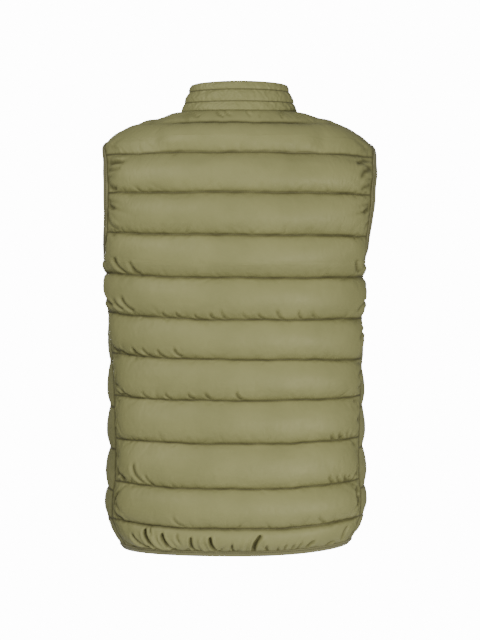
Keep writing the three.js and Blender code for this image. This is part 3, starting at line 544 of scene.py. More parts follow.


# ---- creases, listed one by one: x, level, x, level, depth, width. A depth below 0 is a ridge.
backCreases = [
    # across the lowest baffle
    (144, -643, 120, -677, 4.5, 5.4),
    (137, -640, 132, -649, 2, 3.6),
    (118, -648, 91, -680, 4.5, 5.4),
    (95, -646, 89, -662, 1.6, 4.8),
    (74, -651, 64, -680, 3, 4.8),
    (45, -652, 32, -678, 5, 4.8),
    (11, -663, 8, -678, 2.5, 3.6),
    (-32, -649, -21, -678, 4.5, 5.4),
    (-41, -664, -44, -678, 2, 3.6),
    (-59, -665, -60, -677, 1.5, 3),
    (-71, -662, -69, -675, 1.8, 3),
    (-83, -663, -80, -675, 1.5, 3),
    (-94, -660, -89, -674, 1.8, 3),
    (-112, -659, -101, -671, 2.6, 4.2),
    (-142, -662, -132, -671, 2.2, 4.2),
    (-164, -642, -155, -659, 2.6, 4.2),
    (162, -652, 138, -672, 3, 4.8),
    (134, -646, 108, -678, -1.6, 5.4),
    (60, -652, 48, -680, -1.4, 5.4),
    (-10, -656, -6, -678, -1.2, 5.4),
    # in from the left armhole
    (208, -55, 185, -60, 1.2, 7),
    (208, -64, 182, -70, 1.2, 7),
    (208, -76, 172, -83, 1.5, 7),
    (208, -89, 177, -93, 1.2, 6),
    (206, -109, 186, -123, 1.5, 8),
    (208, -126, 188, -154, 1.5, 8),
    (206, -155, 182, -185, 1.5, 8),
    # in from the right armhole
    (-206, -62, -183, -69, 1.2, 7),
    (-206, -76, -177, -86, 1.5, 7),
    (-206, -90, -180, -106, 1.5, 8),
    (-206, -117, -183, -123, 1.2, 7),
    (-205, -146, -186, -160, 1.2, 7),
    (-203, -172, -188, -183, 1.2, 7),
    # by the left side seam
    (207, -279, 189, -301, 2.5, 7),
    (186, -292, 174, -305, 2, 6),
    (174, -287, 159, -307, 2, 6),
    (192, -545, 173, -570, 2.2, 7),
    (195, -355, 184, -374, 1.8, 6),
    (196, -425, 179, -442, 2, 6),
    (195, -489, 179, -512, 2, 7),
    (198, -612, 179, -633, 2, 7),
    # by the right side seam
    (-190, -459, -184, -489, 2.2, 6),
    (-185, -497, -176, -517, 2, 6),
    (-187, -534, -182, -559, 2, 6),
    (-181, -557, -175, -579, 2, 6),
    (-182, -581, -182, -613, 2, 6),
    (-192, -444, -175, -450, 1.8, 6),
    (-193, -467, -176, -480, 1.8, 6),
    (-193, -340, -178, -352, 1.6, 6),
    (-192, -293, -176, -310, 1.6, 6),
    (-193, -402, -178, -411, 1.6, 6),
    # small ones just above the quilt lines
    (116, -310, 107, -320, 2.0, 5.0),
    (96, -311, 87, -320, 2.0, 5.0),
    (68, -312, 60, -320, 1.6, 4.0),
    (44, -310, 37, -320, 2.0, 5.0),
    (28, -306, 19, -320, 1.4, 5.0),
    (-4, -310, -13, -320, 1.4, 5.0),
    (-28, -312, -36, -320, 2.0, 4.0),
    (-56, -306, -65, -320, 1.8, 5.0),
    (-88, -307, -94, -320, 1.6, 4.0),
    (-108, -309, -117, -320, 1.2, 5.0),
    (182, -368, 171, -378, 2.2, 5.0),
    (160, -365, 148, -379, 2.4, 5.0),
    (145, -365, 133, -379, 1.8, 5.0),
    (123, -367, 110, -380, 2.0, 5.0),
    (98, -364, 87, -378, 2.2, 5.0),
    (177, -432, 167, -443, 2.1, 5.0),
    (146, -433, 138, -443, 1.5, 5.0),
    (112, -434, 103, -443, 1.8, 5.0),
    (78, -435, 68, -443, 2.1, 5.0),
    (52, -434, 43, -443, 1.8, 5.0),
    (5, -431, -4, -443, 1.8, 5.0),
    (-137, -498, -145, -509, 1.6, 5.0),
    (-134, -562, -142, -574, 1.8, 5.0),
    (-149, -496, -157, -509, 1.6, 5.0),
    (-146, -562, -154, -574, 1.8, 5.0),
    (-161, -494, -169, -509, 1.6, 5.0),
    (-158, -562, -166, -574, 1.8, 5.0),
    (-168, -497, -176, -509, 1.6, 5.0),
    (-165, -563, -173, -574, 1.8, 5.0),
    (158, -545, 146, -572, 1.8, 6),
    (141, -561, 130, -576, 1.5, 5),
    (100, -622, 84, -636, 1.5, 5),
    (-118, -622, -131, -633, 1.5, 5),
    (162, -232, 150, -254, 1.6, 6),
    (184, -226, 172, -251, 2.0, 6),
    (-172, -228, -180, -250, 1.8, 6),
    # in the narrow strip under the collar
    (82, -7, 75, -20, 1.6, 4),
    (74, -6, 61, -13, 1.4, 4),
    (35, -3, 24, -13, 1.6, 4),
    (23, -1, 12, -12, 1.4, 4),
    (-65, -1, -65, -15, 1.6, 4),
    (-10, -1, -18, -12, 1.0, 4),
    (-34, -3, -31, -13, 1.0, 4),
    (106, -12, 97, -21, 1.2, 4),
    (-92, -6, -88, -16, 1.2, 4),
]


creasing = {"deeper": 1.9, "narrower": 0.95, "ridge": 0.25}


def creaseDepth(across, level, creases):
    depth = np.zeros_like(across)
    for x0, z0, x1, z1, deep, wide in creases:
        dx, dz = x1 - x0, z1 - z0
        length = math.hypot(dx, dz)
        near = (np.abs(across - (x0 + x1) / 2) < length + 2 * wide) & (np.abs(level - (z0 + z1) / 2) < length + 2 * wide)
        if not near.any():
            continue
        ax, az = across[near] - x0, level[near] - z0
        along = (ax * dx + az * dz) / length
        aside = (ax * dz - az * dx) / length + 0.12 * length * np.sin(np.pi * np.clip(along / length, 0, 1))
        taper = smooth((along + wide / 2) / wide) * smooth((length + wide / 2 - along) / wide)
        off = np.abs(aside) / (wide / 2 * creasing["narrower"])
        trough = np.exp(-(off**1.5)) - creasing["ridge"] * np.exp(-(((off - 2.1) / 0.8) ** 2))
        depth[near] += creasing["deeper"] * deep * trough * taper
    return depth


# ---- gathers that run in from a seam: mm apart, short and long, shallow and deep, slant, narrow and wide
armholeGathers = {"apart": 5.0, "long": (7.0, 32.0), "deep": (0.8, 3.6), "slant": 0.35, "wide": (1.6, 2.7)}
sideGathers = {"apart": 5.5, "long": (9.0, 40.0), "deep": (1.4, 6.0), "slant": 0.8, "wide": (1.8, 3.2)}
zipGathers = {"apart": 9.0, "long": (6.0, 22.0), "deep": (0.4, 1.5), "slant": 0.5, "wide": (2.0, 3.6)}
hemGathers = {"apart": 19.0, "long": (22.0, 48.0), "deep": (1.5, 5.5), "slant": 0.35, "wide": (3.0, 5.0)}

fineHemGathers = {"apart": 8.0, "long": (8.0, 26.0), "deep": (0.5, 2.6), "slant": 0.4, "wide": (1.8, 3.2)}


def gatherDepth(away, along, settings, seed):
    rng = np.random.default_rng(seed)
    depth = np.zeros_like(away)
    at, last = float(along.min()), float(along.max())
    while at < last:
        at += settings["apart"] * rng.uniform(0.4, 1.6)
        reach = rng.uniform(*settings["long"])
        deep = mix(*settings["deep"], rng.random() ** 1.2)
        slant = settings["slant"] * rng.normal()
        wide = rng.uniform(*settings["wide"])
        near = (away < reach * 1.2) & (np.abs(along - at) < 45)
        if near.any():
            a = away[near]
            aside = along[near] - at - slant * a - 0.02 * slant * a * a
            depth[near] += deep * np.exp(-((np.abs(aside) / wide) ** 1.5)) * (1 - smooth((a - reach * 0.3) / (reach * 0.8)))
    return depth


# ---- a quilt line is sewn by hand and eye, so it wanders a little
wander = {"far": 0.9, "waves": ((150.0, 0.55), (61.0, 0.3), (27.0, 0.2))}


def lineWander(arc, level, lineLevels, seed):
    rng = np.random.default_rng(seed)
    moved = np.zeros_like(arc)
    for i, line in enumerate(lineLevels):
        above = lineLevels[i - 1] if i else line + 10
        below = lineLevels[i + 1] if i < len(lineLevels) - 1 else line - 10
        near = np.clip(np.minimum((level - below) / (line - below), (above - level) / (above - line)), 0, 1)
        for longOne, share in wander["waves"]:
            wave = np.sin(2 * np.pi * arc / (longOne * rng.uniform(0.8, 1.25)) + rng.uniform(0, 7))
            if 0 < i < len(lineLevels) - 1:
                moved += wander["far"] * share * wave * smooth(near)
    return moved


# ---- small puckers that the stitching draws in along a quilt line
puckers = {
    "spacing": 6.5,  # mm
    "above": (4.0, 19.0),  # shortest and longest
    "below": (3.0, 8.0),
    "depth": (0.4, 2.6),
    "slant": 0.6,
}


def puckerDepth(arc, level, lines, seed):
    rng = np.random.default_rng(seed)
    depth = np.zeros_like(arc)
    low, high = float(arc.min()), float(arc.max())
    for line in lines[1:-1]:
        at = low
        while at < high:
            at += puckers["spacing"] * rng.uniform(0.45, 1.8)
            for direction, (short, long) in ((1, puckers["above"]), (-1, puckers["below"])):
                reach = short + (long - short) * rng.random() ** 2
                deep = mix(puckers["depth"][0], puckers["depth"][1], rng.random() ** 1.6)
                slant = puckers["slant"] * rng.normal()
                wide = rng.uniform(2.2, 4.2)
                along = (level - line[0]) * direction
                near = (along > -0.5) & (along < reach * 1.3) & (np.abs(arc - at) < 30)
                if not near.any():
                    continue
                a = along[near]
                aside = arc[near] - at - slant * a
                fade = smooth((a + 0.5) / 1.8) * (1 - smooth((a - reach * 0.25) / reach))
                depth[near] += deep * np.exp(-((np.abs(aside) / wide) ** 1.6)) * fade
    return depth


# ---- materials
cloth = {
    "shell": (0.252, 0.247, 0.104),
    "shellShade": (0.202, 0.201, 0.083),
    # seam: the painted shade colour that the cloth is mixed toward in quilt-line grooves, along the armhole and side
    # seams and at the bottom of deep folds
    "seam": (0.050, 0.044, 0.016),
    "binding": (0.200, 0.190, 0.084),
    "roughness": 0.52,
    "sheen": 0.04,
}


def nodeAdder(material):
    tree = material.node_tree
    tree.nodes.clear()

    def add(kind, values=None, links=None, **settings):
        node = tree.nodes.new(kind)
        for key, value in settings.items():
            setattr(node, key, value)
        for key, value in (values or {}).items():
            node.inputs[key].default_value = value
        for key, source in (links or {}).items():
            tree.links.new(source, node.inputs[key])
        return node

    return add


def colour(rgb):
    return (*rgb, 1.0)


def quiltedNylon(name, light, dark, seam):
    material = bpy.data.materials.new(name)
    material.use_nodes = True
    add = nodeAdder(material)
    uv = add("ShaderNodeUVMap", uv_map="cloth").outputs["UV"]
    place = add("ShaderNodeTexCoord").outputs["Object"]
    patches = add("ShaderNodeTexNoise", {"Scale": 14.0, "Detail": 3.0, "Roughness": 0.55}, {"Vector": place})
    blend = add("ShaderNodeMapRange", {"From Min": 0.35, "From Max": 0.65, "To Min": 0.0, "To Max": 0.55}, {"Value": patches.outputs["Fac"]})
    base = add("ShaderNodeMix", data_type="RGBA")
    base.inputs[6].default_value = colour(light)
    base.inputs[7].default_value = colour(dark)
    material.node_tree.links.new(blend.outputs["Result"], base.inputs[0])
    # painted shade: the cloth colour is mixed toward the dark seam colour by the painted-shade point attribute, in
    # grooves, along edges and in deep folds
    paintedShade = add("ShaderNodeAttribute", attribute_name="paintedShade")
    paintedShadeMix = add("ShaderNodeMix", data_type="RGBA")
    paintedShadeMix.inputs[7].default_value = colour(seam)
    material.node_tree.links.new(base.outputs[2], paintedShadeMix.inputs[6])
    material.node_tree.links.new(paintedShade.outputs["Fac"], paintedShadeMix.inputs[0])
    # plain weave, a little over three threads to a millimetre
    warp = add("ShaderNodeTexWave", {"Scale": 500.0, "Distortion": 0.6, "Detail": 1.0}, {"Vector": uv}, wave_type="BANDS", bands_direction="X")
    weft = add("ShaderNodeTexWave", {"Scale": 500.0, "Distortion": 0.6, "Detail": 1.0}, {"Vector": uv}, wave_type="BANDS", bands_direction="Y")
    weave = add("ShaderNodeMath", None, {0: warp.outputs["Fac"], 1: weft.outputs["Fac"]}, operation="MULTIPLY")
    stretched = add("ShaderNodeMapping", {"Scale": (1.0, 0.55, 1.0)}, {"Vector": uv})
    crinkle = add("ShaderNodeTexNoise", {"Scale": 120.0, "Detail": 4.0, "Roughness": 0.6, "Distortion": 0.8}, {"Vector": stretched.outputs["Vector"]})
    softFold = add("ShaderNodeTexNoise", {"Scale": 38.0, "Detail": 2.0, "Roughness": 0.5}, {"Vector": stretched.outputs["Vector"]})
    weaveBump = add("ShaderNodeBump", {"Strength": 0.25, "Distance": 0.00012}, {"Height": weave.outputs["Value"]})
    crinkleBump = add("ShaderNodeBump", {"Strength": 0.22, "Distance": 0.0007}, {"Height": crinkle.outputs["Fac"], "Normal": weaveBump.outputs["Normal"]})
    foldBump = add("ShaderNodeBump", {"Strength": 0.16, "Distance": 0.0022}, {"Height": softFold.outputs["Fac"], "Normal": crinkleBump.outputs["Normal"]})
    rough = add("ShaderNodeMapRange", {"From Min": 0.3, "From Max": 0.7, "To Min": cloth["roughness"] - 0.06, "To Max": cloth["roughness"] + 0.08}, {"Value": crinkle.outputs["Fac"]})
    shader = add("ShaderNodeBsdfPrincipled", {
        "Sheen Weight": cloth["sheen"],
        "Sheen Roughness": 0.45,
        "Sheen Tint": (0.95, 0.92, 0.78, 1.0),
        "Specular IOR Level": 0.3,
        "Specular Tint": (1.0, 0.93, 0.62, 1.0),
    }, {"Base Color": paintedShadeMix.outputs[2], "Roughness": rough.outputs["Result"], "Normal": foldBump.outputs["Normal"]})
    add("ShaderNodeOutputMaterial", None, {"Surface": shader.outputs["BSDF"]})
    return material


def ribbedBinding(name, light):
    material = bpy.data.materials.new(name)
    material.use_nodes = True
    add = nodeAdder(material)
    uv = add("ShaderNodeUVMap", uv_map="cloth").outputs["UV"]
    ribs = add("ShaderNodeTexWave", {"Scale": 320.0, "Distortion": 0.4}, {"Vector": uv}, wave_type="BANDS", bands_direction="X")
    fibres = add("ShaderNodeTexNoise", {"Scale": 900.0, "Detail": 2.0}, {"Vector": uv})
    bump = add("ShaderNodeBump", {"Strength": 0.35, "Distance": 0.0002}, {"Height": ribs.outputs["Fac"]})
    bump2 = add("ShaderNodeBump", {"Strength": 0.25, "Distance": 0.0002}, {"Height": fibres.outputs["Fac"], "Normal": bump.outputs["Normal"]})
    tone = add("ShaderNodeMix", data_type="RGBA")
    tone.inputs[6].default_value = colour(light)
    tone.inputs[7].default_value = colour([c * 0.8 for c in light])
    material.node_tree.links.new(fibres.outputs["Fac"], tone.inputs[0])
    shader = add("ShaderNodeBsdfPrincipled", {"Roughness": 0.72, "Sheen Weight": 0.25, "Sheen Roughness": 0.5, "Specular IOR Level": 0.3},
                 {"Base Color": tone.outputs[2], "Normal": bump2.outputs["Normal"]})
    add("ShaderNodeOutputMaterial", None, {"Surface": shader.outputs["BSDF"]})
    return material


def paintedMetal(name, light):
    material = bpy.data.materials.new(name)
    material.use_nodes = True
    add = nodeAdder(material)
    place = add("ShaderNodeTexCoord").outputs["Object"]
    grain = add("ShaderNodeTexNoise", {"Scale": 900.0, "Detail": 3.0}, {"Vector": place})
    rough = add("ShaderNodeMapRange", {"To Min": 0.3, "To Max": 0.48}, {"Value": grain.outputs["Fac"]})
    bump = add("ShaderNodeBump", {"Strength": 0.12, "Distance": 0.0001}, {"Height": grain.outputs["Fac"]})
    shader = add("ShaderNodeBsdfPrincipled", {"Base Color": colour(light), "Metallic": 0.35},
                 {"Roughness": rough.outputs["Result"], "Normal": bump.outputs["Normal"]})
    add("ShaderNodeOutputMaterial", None, {"Surface": shader.outputs["BSDF"]})
    return material


shellCloth = quiltedNylon("olive nylon", cloth["shell"], cloth["shellShade"], cloth["seam"])
bindingCloth = ribbedBinding("olive stretch binding", cloth["binding"])
tapeCloth = ribbedBinding("olive zip tape", (0.11, 0.1, 0.052))
toothPlastic = paintedMetal("olive zip teeth", (0.085, 0.078, 0.042))
sliderPaint = paintedMetal("olive painted zip slider", (0.075, 0.07, 0.04))
threadCloth = ribbedBinding("olive thread", (0.085, 0.078, 0.034))
print("materials made")


def finishPiece(piece, material, nodes=(), body="garment"):
    piece.data.materials.clear()
    piece.data.materials.append(material)
    if nodes:
        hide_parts(*nodes)
    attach(piece, body)


def quiltedPanel(name, kind, node, seed):
    lines = backLines if kind == "back" else frontLines
    top = 0.0 if kind == "back" else -0.5
    extra = nearArmhole + ([] if kind == "back" else nearNeck)
    levels = rowLevels(lines, top, quilting["rowHeight"], extra)
    columns = 2 * round((540 if kind == "back" else 250) / quilting["columnWidth"] / 2) + 1
    coarse = panelGrid(kind, levels, columns)
    places = coarse["flat"] + coarse["normal"] * coarse["lift"][..., None]
    lineLevels = np.array([line[0] for line in lines])
    isLine = np.array([np.abs(lineLevels - level).min() < 1e-6 for level in levels])
    isLine[0] = isLine[-1] = True
    sewn = np.zeros(coarse["lift"].shape, bool)
    sewn[isLine] = True
    ranOut = quilting["topSeamEnds"] + quilting["topSeamFade"] / 2
    sewn[:, [0, -1]] = True
    moved = puffedOffsets(name + "Padding", places, coarse["normal"], sewn, puffing)

    stops = np.nonzero(isLine)[0].tolist()
    fineLevels = doubledBetween(np.array(levels), stops)
    fine = panelGrid(kind, fineLevels.tolist(), 2 * columns - 1)
    offsets = doubled(doubledBetween(moved, stops), 1)
    sharp = np.exp(-fine["fromSide"] / puffing["wrinkledSides"]) * (1 - puffing["wrinkledMiddle"]) + puffing["wrinkledMiddle"]
    calm = smoothAcross(smoothAcross(offsets, 9), 5)
    offsets = mix(calm, offsets, sharp[..., None])
    level = fine["level"]
    belowArmhole = smooth((armholeBottom - level) / 30)
    depth = puckerDepth(fine["arc"], level, lines, seed) * (0.8 + 1.2 * np.exp(-fine["fromSide"] / 40))
    depth += gatherDepth(fine["away"], fine["round"], armholeGathers, seed + 20)
    depth += gatherDepth(fine["fromSide"], level, sideGathers, seed + 40) * belowArmhole
    lowest = smooth((lines[-2][0] + 3 - level) / 5)
    depth += gatherDepth(level - lineLevels[-1], fine["arc"], fineHemGathers, seed + 70) * lowest
    if kind == "back":
        depth += creaseDepth(fine["flat"][..., 0], fine["flat"][..., 2], backCreases)
    else:
        depth += gatherDepth(fine["fromZip"], level, zipGathers, seed + 60)
        depth += gatherDepth(level - lineLevels[-1], fine["arc"], hemGathers, seed + 80) * lowest
    pulled = np.clip(fine["lift"] / 3.0, 0, 1)
    depth = np.minimum(depth * pulled, fine["lift"] * 0.95)
    offsets *= 1 - 0.7 * smooth(depth / 4)[..., None]
    fromEdge = np.minimum(np.minimum(fine["fromSide"], fine["fromZip"]), fine["away"] + 999 * (level < armholeBottom))
    offsets[..., 2] += lineWander(fine["arc"], level, lineLevels, seed + 100) * smooth(fromEdge / 12)
    outer = fine["flat"] + fine["normal"] * (fine["lift"] - depth)[..., None] + offsets
    inner = fine["flat"] - fine["normal"] * vest["cloth"]
    # painted shade: dark in the seams and at the bottom of deep folds, where shadow falls
    patchy = 0.85 + 0.15 * np.sin(fine["arc"] / 9 + level / 7) * np.sin(fine["arc"] / 23 + level / 31)
    paintedShade = 0.95 * patchy * np.exp(-((np.abs(level[..., None] - lineLevels).min(-1) / 2.0) ** 2))
    fading = smooth((ranOut - np.abs(fine["flat"][..., 0])) / 35)
    paintedShade = np.where(np.abs(level - lineLevels[1]) < 8, paintedShade * fading, paintedShade)
    # painted shade also along the armhole edge and the side seams, then in deep folds
    paintedShade = np.maximum(paintedShade, 0.75 * np.exp(-((np.minimum(fine["away"], fine["fromSide"]) / 3.0) ** 2)))
    paintedShade = np.maximum(paintedShade, 0.68 * smooth((depth - 1.0) / 3.2))
    uv = np.stack([fine["arc"], level], 2)
    piece = wallMesh(name, outer, inner, uv, paintedShade, 4)
    finishPiece(piece, shellCloth, [node])
    print(name, "made,", len(piece.data.polygons), "faces")
    seams = []
    for i, line in enumerate(lines[1:-1]):
        row = int(np.abs(fineLevels - line[0]).argmin())
        kept = np.abs(outer[row][:, 0]) < ranOut - 12 if i == 0 else np.ones(len(outer[row]), bool)
        seams.append((outer[row][kept], fine["normal"][row][kept]))
    return seams


seams = {
    "back": quiltedPanel("backPanel", "back", "back_panel", 11),
    "leftFront": quiltedPanel("leftFront", "left", "left_front", 12),
    "rightFront": quiltedPanel("rightFront", "right", "right_front", 13),
}

# ---- the collar
collar = {
    "height": 46.0,
    "lines": [-1.8, 13, 32, 46],  # the foot reaches a little under the panels' top edge
    "fill": [1.0, 1.9, 1.5],
    "seamLift": 2.1,
    "rows": [8, 10, 8],
    "gap": 0.6,
    "leanBack": 10.0,
    "leanSide": 17.0,
    "leanFront": 22.0,
    "squareOff": 0.6,
    "columns": 44,
    "smoothing": 6,
}
collarPuffing = {"pressure": 1.0, "ease": -0.015, "frames": 14, "furthest": 1.0, "seed": 5}


def evenly(points, count):
    runs = np.concatenate([[0], np.cumsum(np.linalg.norm(np.diff(points, axis=0), axis=1))])
    at = np.linspace(0, runs[-1], count + 1)
    return np.stack([np.interp(at, runs, points[:, k]) for k in range(3)], 1)


def unit(vectors):
    return vectors / np.linalg.norm(vectors, axis=-1, keepdims=True)


def collarColumns():
    back = clothPoints(0.0, np.linspace(outerArc(0.0, -1, True), outerArc(0.0, 1, True), 61))
    fronts = []
    for side, neckPoint in ((-1, back[0]), (1, back[-1])):
        levels = -neckline["frontDrop"] * np.sin(np.linspace(0.03, math.pi / 2, 50))
        points = [clothPoints(level, np.array([innerArc(level, side)]))[0] for level in levels]
        fronts.append(evenly(np.array([neckPoint] + points), collar["columns"] // 4))
    foot = np.concatenate([fronts[0][:0:-1], evenly(back, collar["columns"] // 2), fronts[1][1:]])
    last = len(foot) - 1

    def alongAt(points):
        low, high = np.maximum(np.arange(last + 1) - 2, 0), np.minimum(np.arange(last + 1) + 2, last)
        along = unit(points[high] - points[low])
        along[0] = along[-1] = (-1, 0, 0)
        return along

    along = alongAt(foot)
    inward = unit(np.stack([along[:, 1], -along[:, 0], np.zeros(last + 1)], 1))
    towards = np.stack([-foot[:, 0], -12 - foot[:, 1]], 1)
    inward *= np.where((inward[:, :2] * towards).sum(1) < 0, -1, 1)[:, None]
    front = np.clip(-foot[:, 2] / neckline["frontDrop"], 0, 1)
    side = smooth(np.abs(foot[:, 0]) / neckline["halfWidth"])
    lean = np.radians(mix(mix(collar["leanBack"], collar["leanSide"], side), collar["leanFront"], front))
    slant = inward * np.sin(lean)[:, None] + np.array([0, 0, 1.0]) * np.cos(lean)[:, None]
    slant = unit(slant - along * ((slant * along).sum(1) * collar["squareOff"])[:, None])
    top = foot + slant * collar["height"]
    for _ in range(collar["smoothing"]):
        top[1:-1] = (top[1:-1] * 2 + top[:-2] + top[2:]) / 4
    for _ in range(2):
        foot, top = doubled(foot, 0), doubled(top, 0)
    slant = unit(top - foot)
    steps = np.arange(len(foot))
    low, high = np.maximum(steps - 8, 0), np.minimum(steps + 8, len(foot) - 1)
    alongBoth = unit(top[high] - top[low]) + unit(foot[high] - foot[low])
    out = unit(np.cross(slant, alongBoth))
    out *= np.where((out[:, :2] * (foot[:, :2] + [0, 12])).sum(1) < 0, -1, 1)[:, None]
    return foot + slant * collar["gap"], slant, out


def collarGrid(base, slant, out, heights):
    columns = len(base)
    fromEnd = np.minimum(np.arange(columns), columns - 1 - np.arange(columns)) / (columns - 1)
    lifts, places, arcs = [], [], []
    arc = np.concatenate([[0], np.cumsum(np.linalg.norm(np.diff(base, axis=0), axis=1))])
    for height in heights:
        i = min(max(int(np.searchsorted(collar["lines"], height, side="left")) - 1, 0), 2)
        low, high = collar["lines"][i], collar["lines"][i + 1]
        share = min(max((height - low) / (high - low), 0), 1)
        lift = (collar["seamLift"] + collar["fill"][i] * (4 * share * (1 - share)) ** 0.6) * roundFrom(fromEnd, 0.06)
        lift *= mix(0.15, 1, smooth((collar["height"] - height) / 2.5))
        lifts.append(lift)
        places.append(base + slant * height)
        arcs.append(arc)
    return np.array(places), np.array(lifts), np.array(arcs)


def makeCollar():
    base, slant, out = collarColumns()
    heights = []
    for low, high, count in zip(collar["lines"], collar["lines"][1:], collar["rows"]):
        for k in range(count):
            even = k / count
            heights.append(low + (high - low) * mix(even, 0.5 - 0.5 * math.cos(math.pi * even), 0.5))
    heights = np.array((heights + [collar["height"]])[::-1])
    places, lifts, arcs = collarGrid(base, slant, out, heights)
    outward = np.broadcast_to(out, places.shape)
    isLine = np.array([min(abs(h - l) for l in collar["lines"]) < 1e-6 for h in heights])
    sewn = np.zeros(lifts.shape, bool)
    sewn[isLine] = True
    sewn[:, [0, -1]] = True
    moved = puffedOffsets("collarPadding", places + outward * lifts[..., None], outward, sewn, collarPuffing)
    stops = np.nonzero(isLine)[0].tolist()
    fineHeights = doubledBetween(heights, stops)
    fineBase, fineSlant, fineOut = doubled(base, 0), unit(doubled(slant, 0)), unit(doubled(out, 0))
    flat, lift, arc = collarGrid(fineBase, fineSlant, fineOut, fineHeights)
    offsets = doubled(doubledBetween(moved, stops), 1)
    level = fineHeights[:, None] * np.ones((1, flat.shape[1]))
    depth = 0.3 * puckerDepth(arc, -level, [(-line, 1) for line in collar["lines"]], 21)
    pulled = np.clip(lift / 1.5, 0, 1)
    normal = np.broadcast_to(fineOut, flat.shape)
    outer = flat + normal * (lift - depth * pulled)[..., None] + offsets
    inner = flat - normal * vest["cloth"]
    fromLine = np.abs(level[..., None] - np.array(collar["lines"])).min(-1)
    # painted shade in the collar's quilt-line grooves
    paintedShade = 0.8 * np.exp(-((fromLine / 0.9) ** 2))
    paintedShade[level > collar["height"] - 1] = 0
    piece = wallMesh("collarBand", outer, inner, np.stack([arc, level], 2), paintedShade, 4)
    finishPiece(piece, shellCloth, ["collar"])
    print("collar made")
    rows = [int(np.abs(fineHeights - line).argmin()) for line in collar["lines"][1:3]]
    return [(outer[row], fineOut) for row in rows]


seams["collar"] = makeCollar()

# ---- bindings: sections from the free edge, as shares of the width and lifts in mm
bindings = {
    "armhole": [(0.0, -1.2), (-0.02, -0.3), (0.03, 0.6), (0.14, 1.25), (0.32, 1.6), (0.6, 1.7), (0.85, 1.55),
                (1.02, 1.15), (1.1, 0.55), (1.1, 0.0), (1.0, -1.0), (0.8, -2.1), (0.45, -2.35), (0.12, -2.1)],
    "hem": [(0.0, -1.2), (-0.02, -0.3), (0.03, 0.6), (0.14, 1.25), (0.32, 1.6), (0.6, 1.7), (0.88, 1.55),
            (1.06, 1.15), (1.15, 0.5), (1.15, 0.0), (1.0, -1.0), (0.8, -2.1), (0.45, -2.35), (0.12, -2.1)],
    "steps": 300,
    "armholeCut": 14.0,  # width of the stretch tape before it is folded round the edge
    "hemCut": 15.0,
}


def hoopMesh(name, sections, uvs, isClosed):
    # sections: steps x points x 3, a closed outline at each step
    steps, count = sections.shape[:2]
    index = np.arange(steps * count).reshape(steps, count)
    nextStep = np.roll(index, -1, 0) if isClosed else index[1:]
    first = index if isClosed else index[:-1]
    quads = np.stack([first, np.roll(first, -1, 1), np.roll(nextStep, -1, 1), nextStep], 2).reshape(-1, 4).tolist()
    if not isClosed:
        quads += [index[0][::-1].tolist(), index[-1].tolist()]
    mesh = bpy.data.meshes.new(name)
    mesh.from_pydata((sections.reshape(-1, 3) / 1000).tolist(), [], quads)
    mesh.update()
    corners = np.empty(len(mesh.loops), dtype=np.int64)
    mesh.loops.foreach_get("vertex_index", corners)
    layer = mesh.uv_layers.new(name="cloth")
    layer.data.foreach_set("uv", (uvs.reshape(-1, 2)[corners] / 1000).astype(np.float32).reshape(-1))
    places = sections.reshape(-1, 3)
    v = places[np.array([q[:4] for q in quads if len(q) == 4])]
    volume = np.einsum("ij,ij->i", v[:, 0], np.cross(v[:, 1], v[:, 2])).sum()
    volume += np.einsum("ij,ij->i", v[:, 0], np.cross(v[:, 2], v[:, 3])).sum()
    if volume < 0:
        mesh.flip_normals()
    mesh.polygons.foreach_set("use_smooth", np.ones(len(mesh.polygons), dtype=bool))
    piece = bpy.data.objects.new(name, mesh)
    bpy.context.collection.objects.link(piece)
    return piece


def armholeBinding(name, side, node):
    half = (armholeTop - armholeBottom) / 2
    turn = np.linspace(0, 2 * math.pi, bindings["steps"], endpoint=False)
    outline = bindings["armhole"]
    sections, stitched, outwards = [], [], []
    for t in turn:
        rowLevel = (armholeTop + armholeBottom) / 2 + half * math.cos(t) * 0.999999
        behind = t < math.pi
        ring = []
        for width, lift in outline + [(0.84, 1.85)]:
            level, depth = ovalPoint(rowLevel, side, behind, width * vest["bindingWidth"])
            arc = np.array([arcAtDepth(level, side, depth)])
            normal = clothNormals(level, arc)[0]
            ring.append(clothPoints(level, arc)[0] + normal * lift)
        sections.append(ring[:-1])
        stitched.append(ring[-1])
        outwards.append(normal)
    sections, stitched = np.array(sections), np.array(stitched)
    run = np.concatenate([[0], np.cumsum(np.linalg.norm(np.diff(stitched, axis=0), axis=1))])
    widths = np.cumsum([0] + [math.hypot((b[0] - a[0]) * 7, b[1] - a[1]) for a, b in zip(outline, outline[1:])])
    uvs = np.stack(np.broadcast_arrays(run[:, None], widths[None, :]), 2)
    piece = hoopMesh(name, sections, uvs, True)
    finishPiece(piece, bindingCloth, [node])
    return piece, stitched, np.array(outwards)


def hemBindingPiece():
    top = backLines[-1][0] - vest["hemGap"]
    outline = bindings["hem"]
    ringsOf = []
    for width, lift in outline + [(0.84, 1.85)]:
        level = top - vest["hemBinding"] * (1 - width)
        edge = vest["zipOpening"] / 2
        arcs = np.linspace(arcNearFront(level, -1, edge), arcNearFront(level, 1, edge), 400)
        ringsOf.append(clothPoints(level, arcs) + clothNormals(level, arcs) * lift)
    sections = np.stack(ringsOf[:-1], 1)
    stitched = ringsOf[-1]
    run = np.concatenate([[0], np.cumsum(np.linalg.norm(np.diff(stitched, axis=0), axis=1))])
    widths = np.cumsum([0] + [math.hypot((b[0] - a[0]) * 8, b[1] - a[1]) for a, b in zip(outline, outline[1:])])
    uvs = np.stack(np.broadcast_arrays(run[:, None], widths[None, :]), 2)
    piece = hoopMesh("hemBinding", sections, uvs, False)
    finishPiece(piece, bindingCloth, ["hem_binding"])
    return piece, stitched, clothNormals(top, arcs)


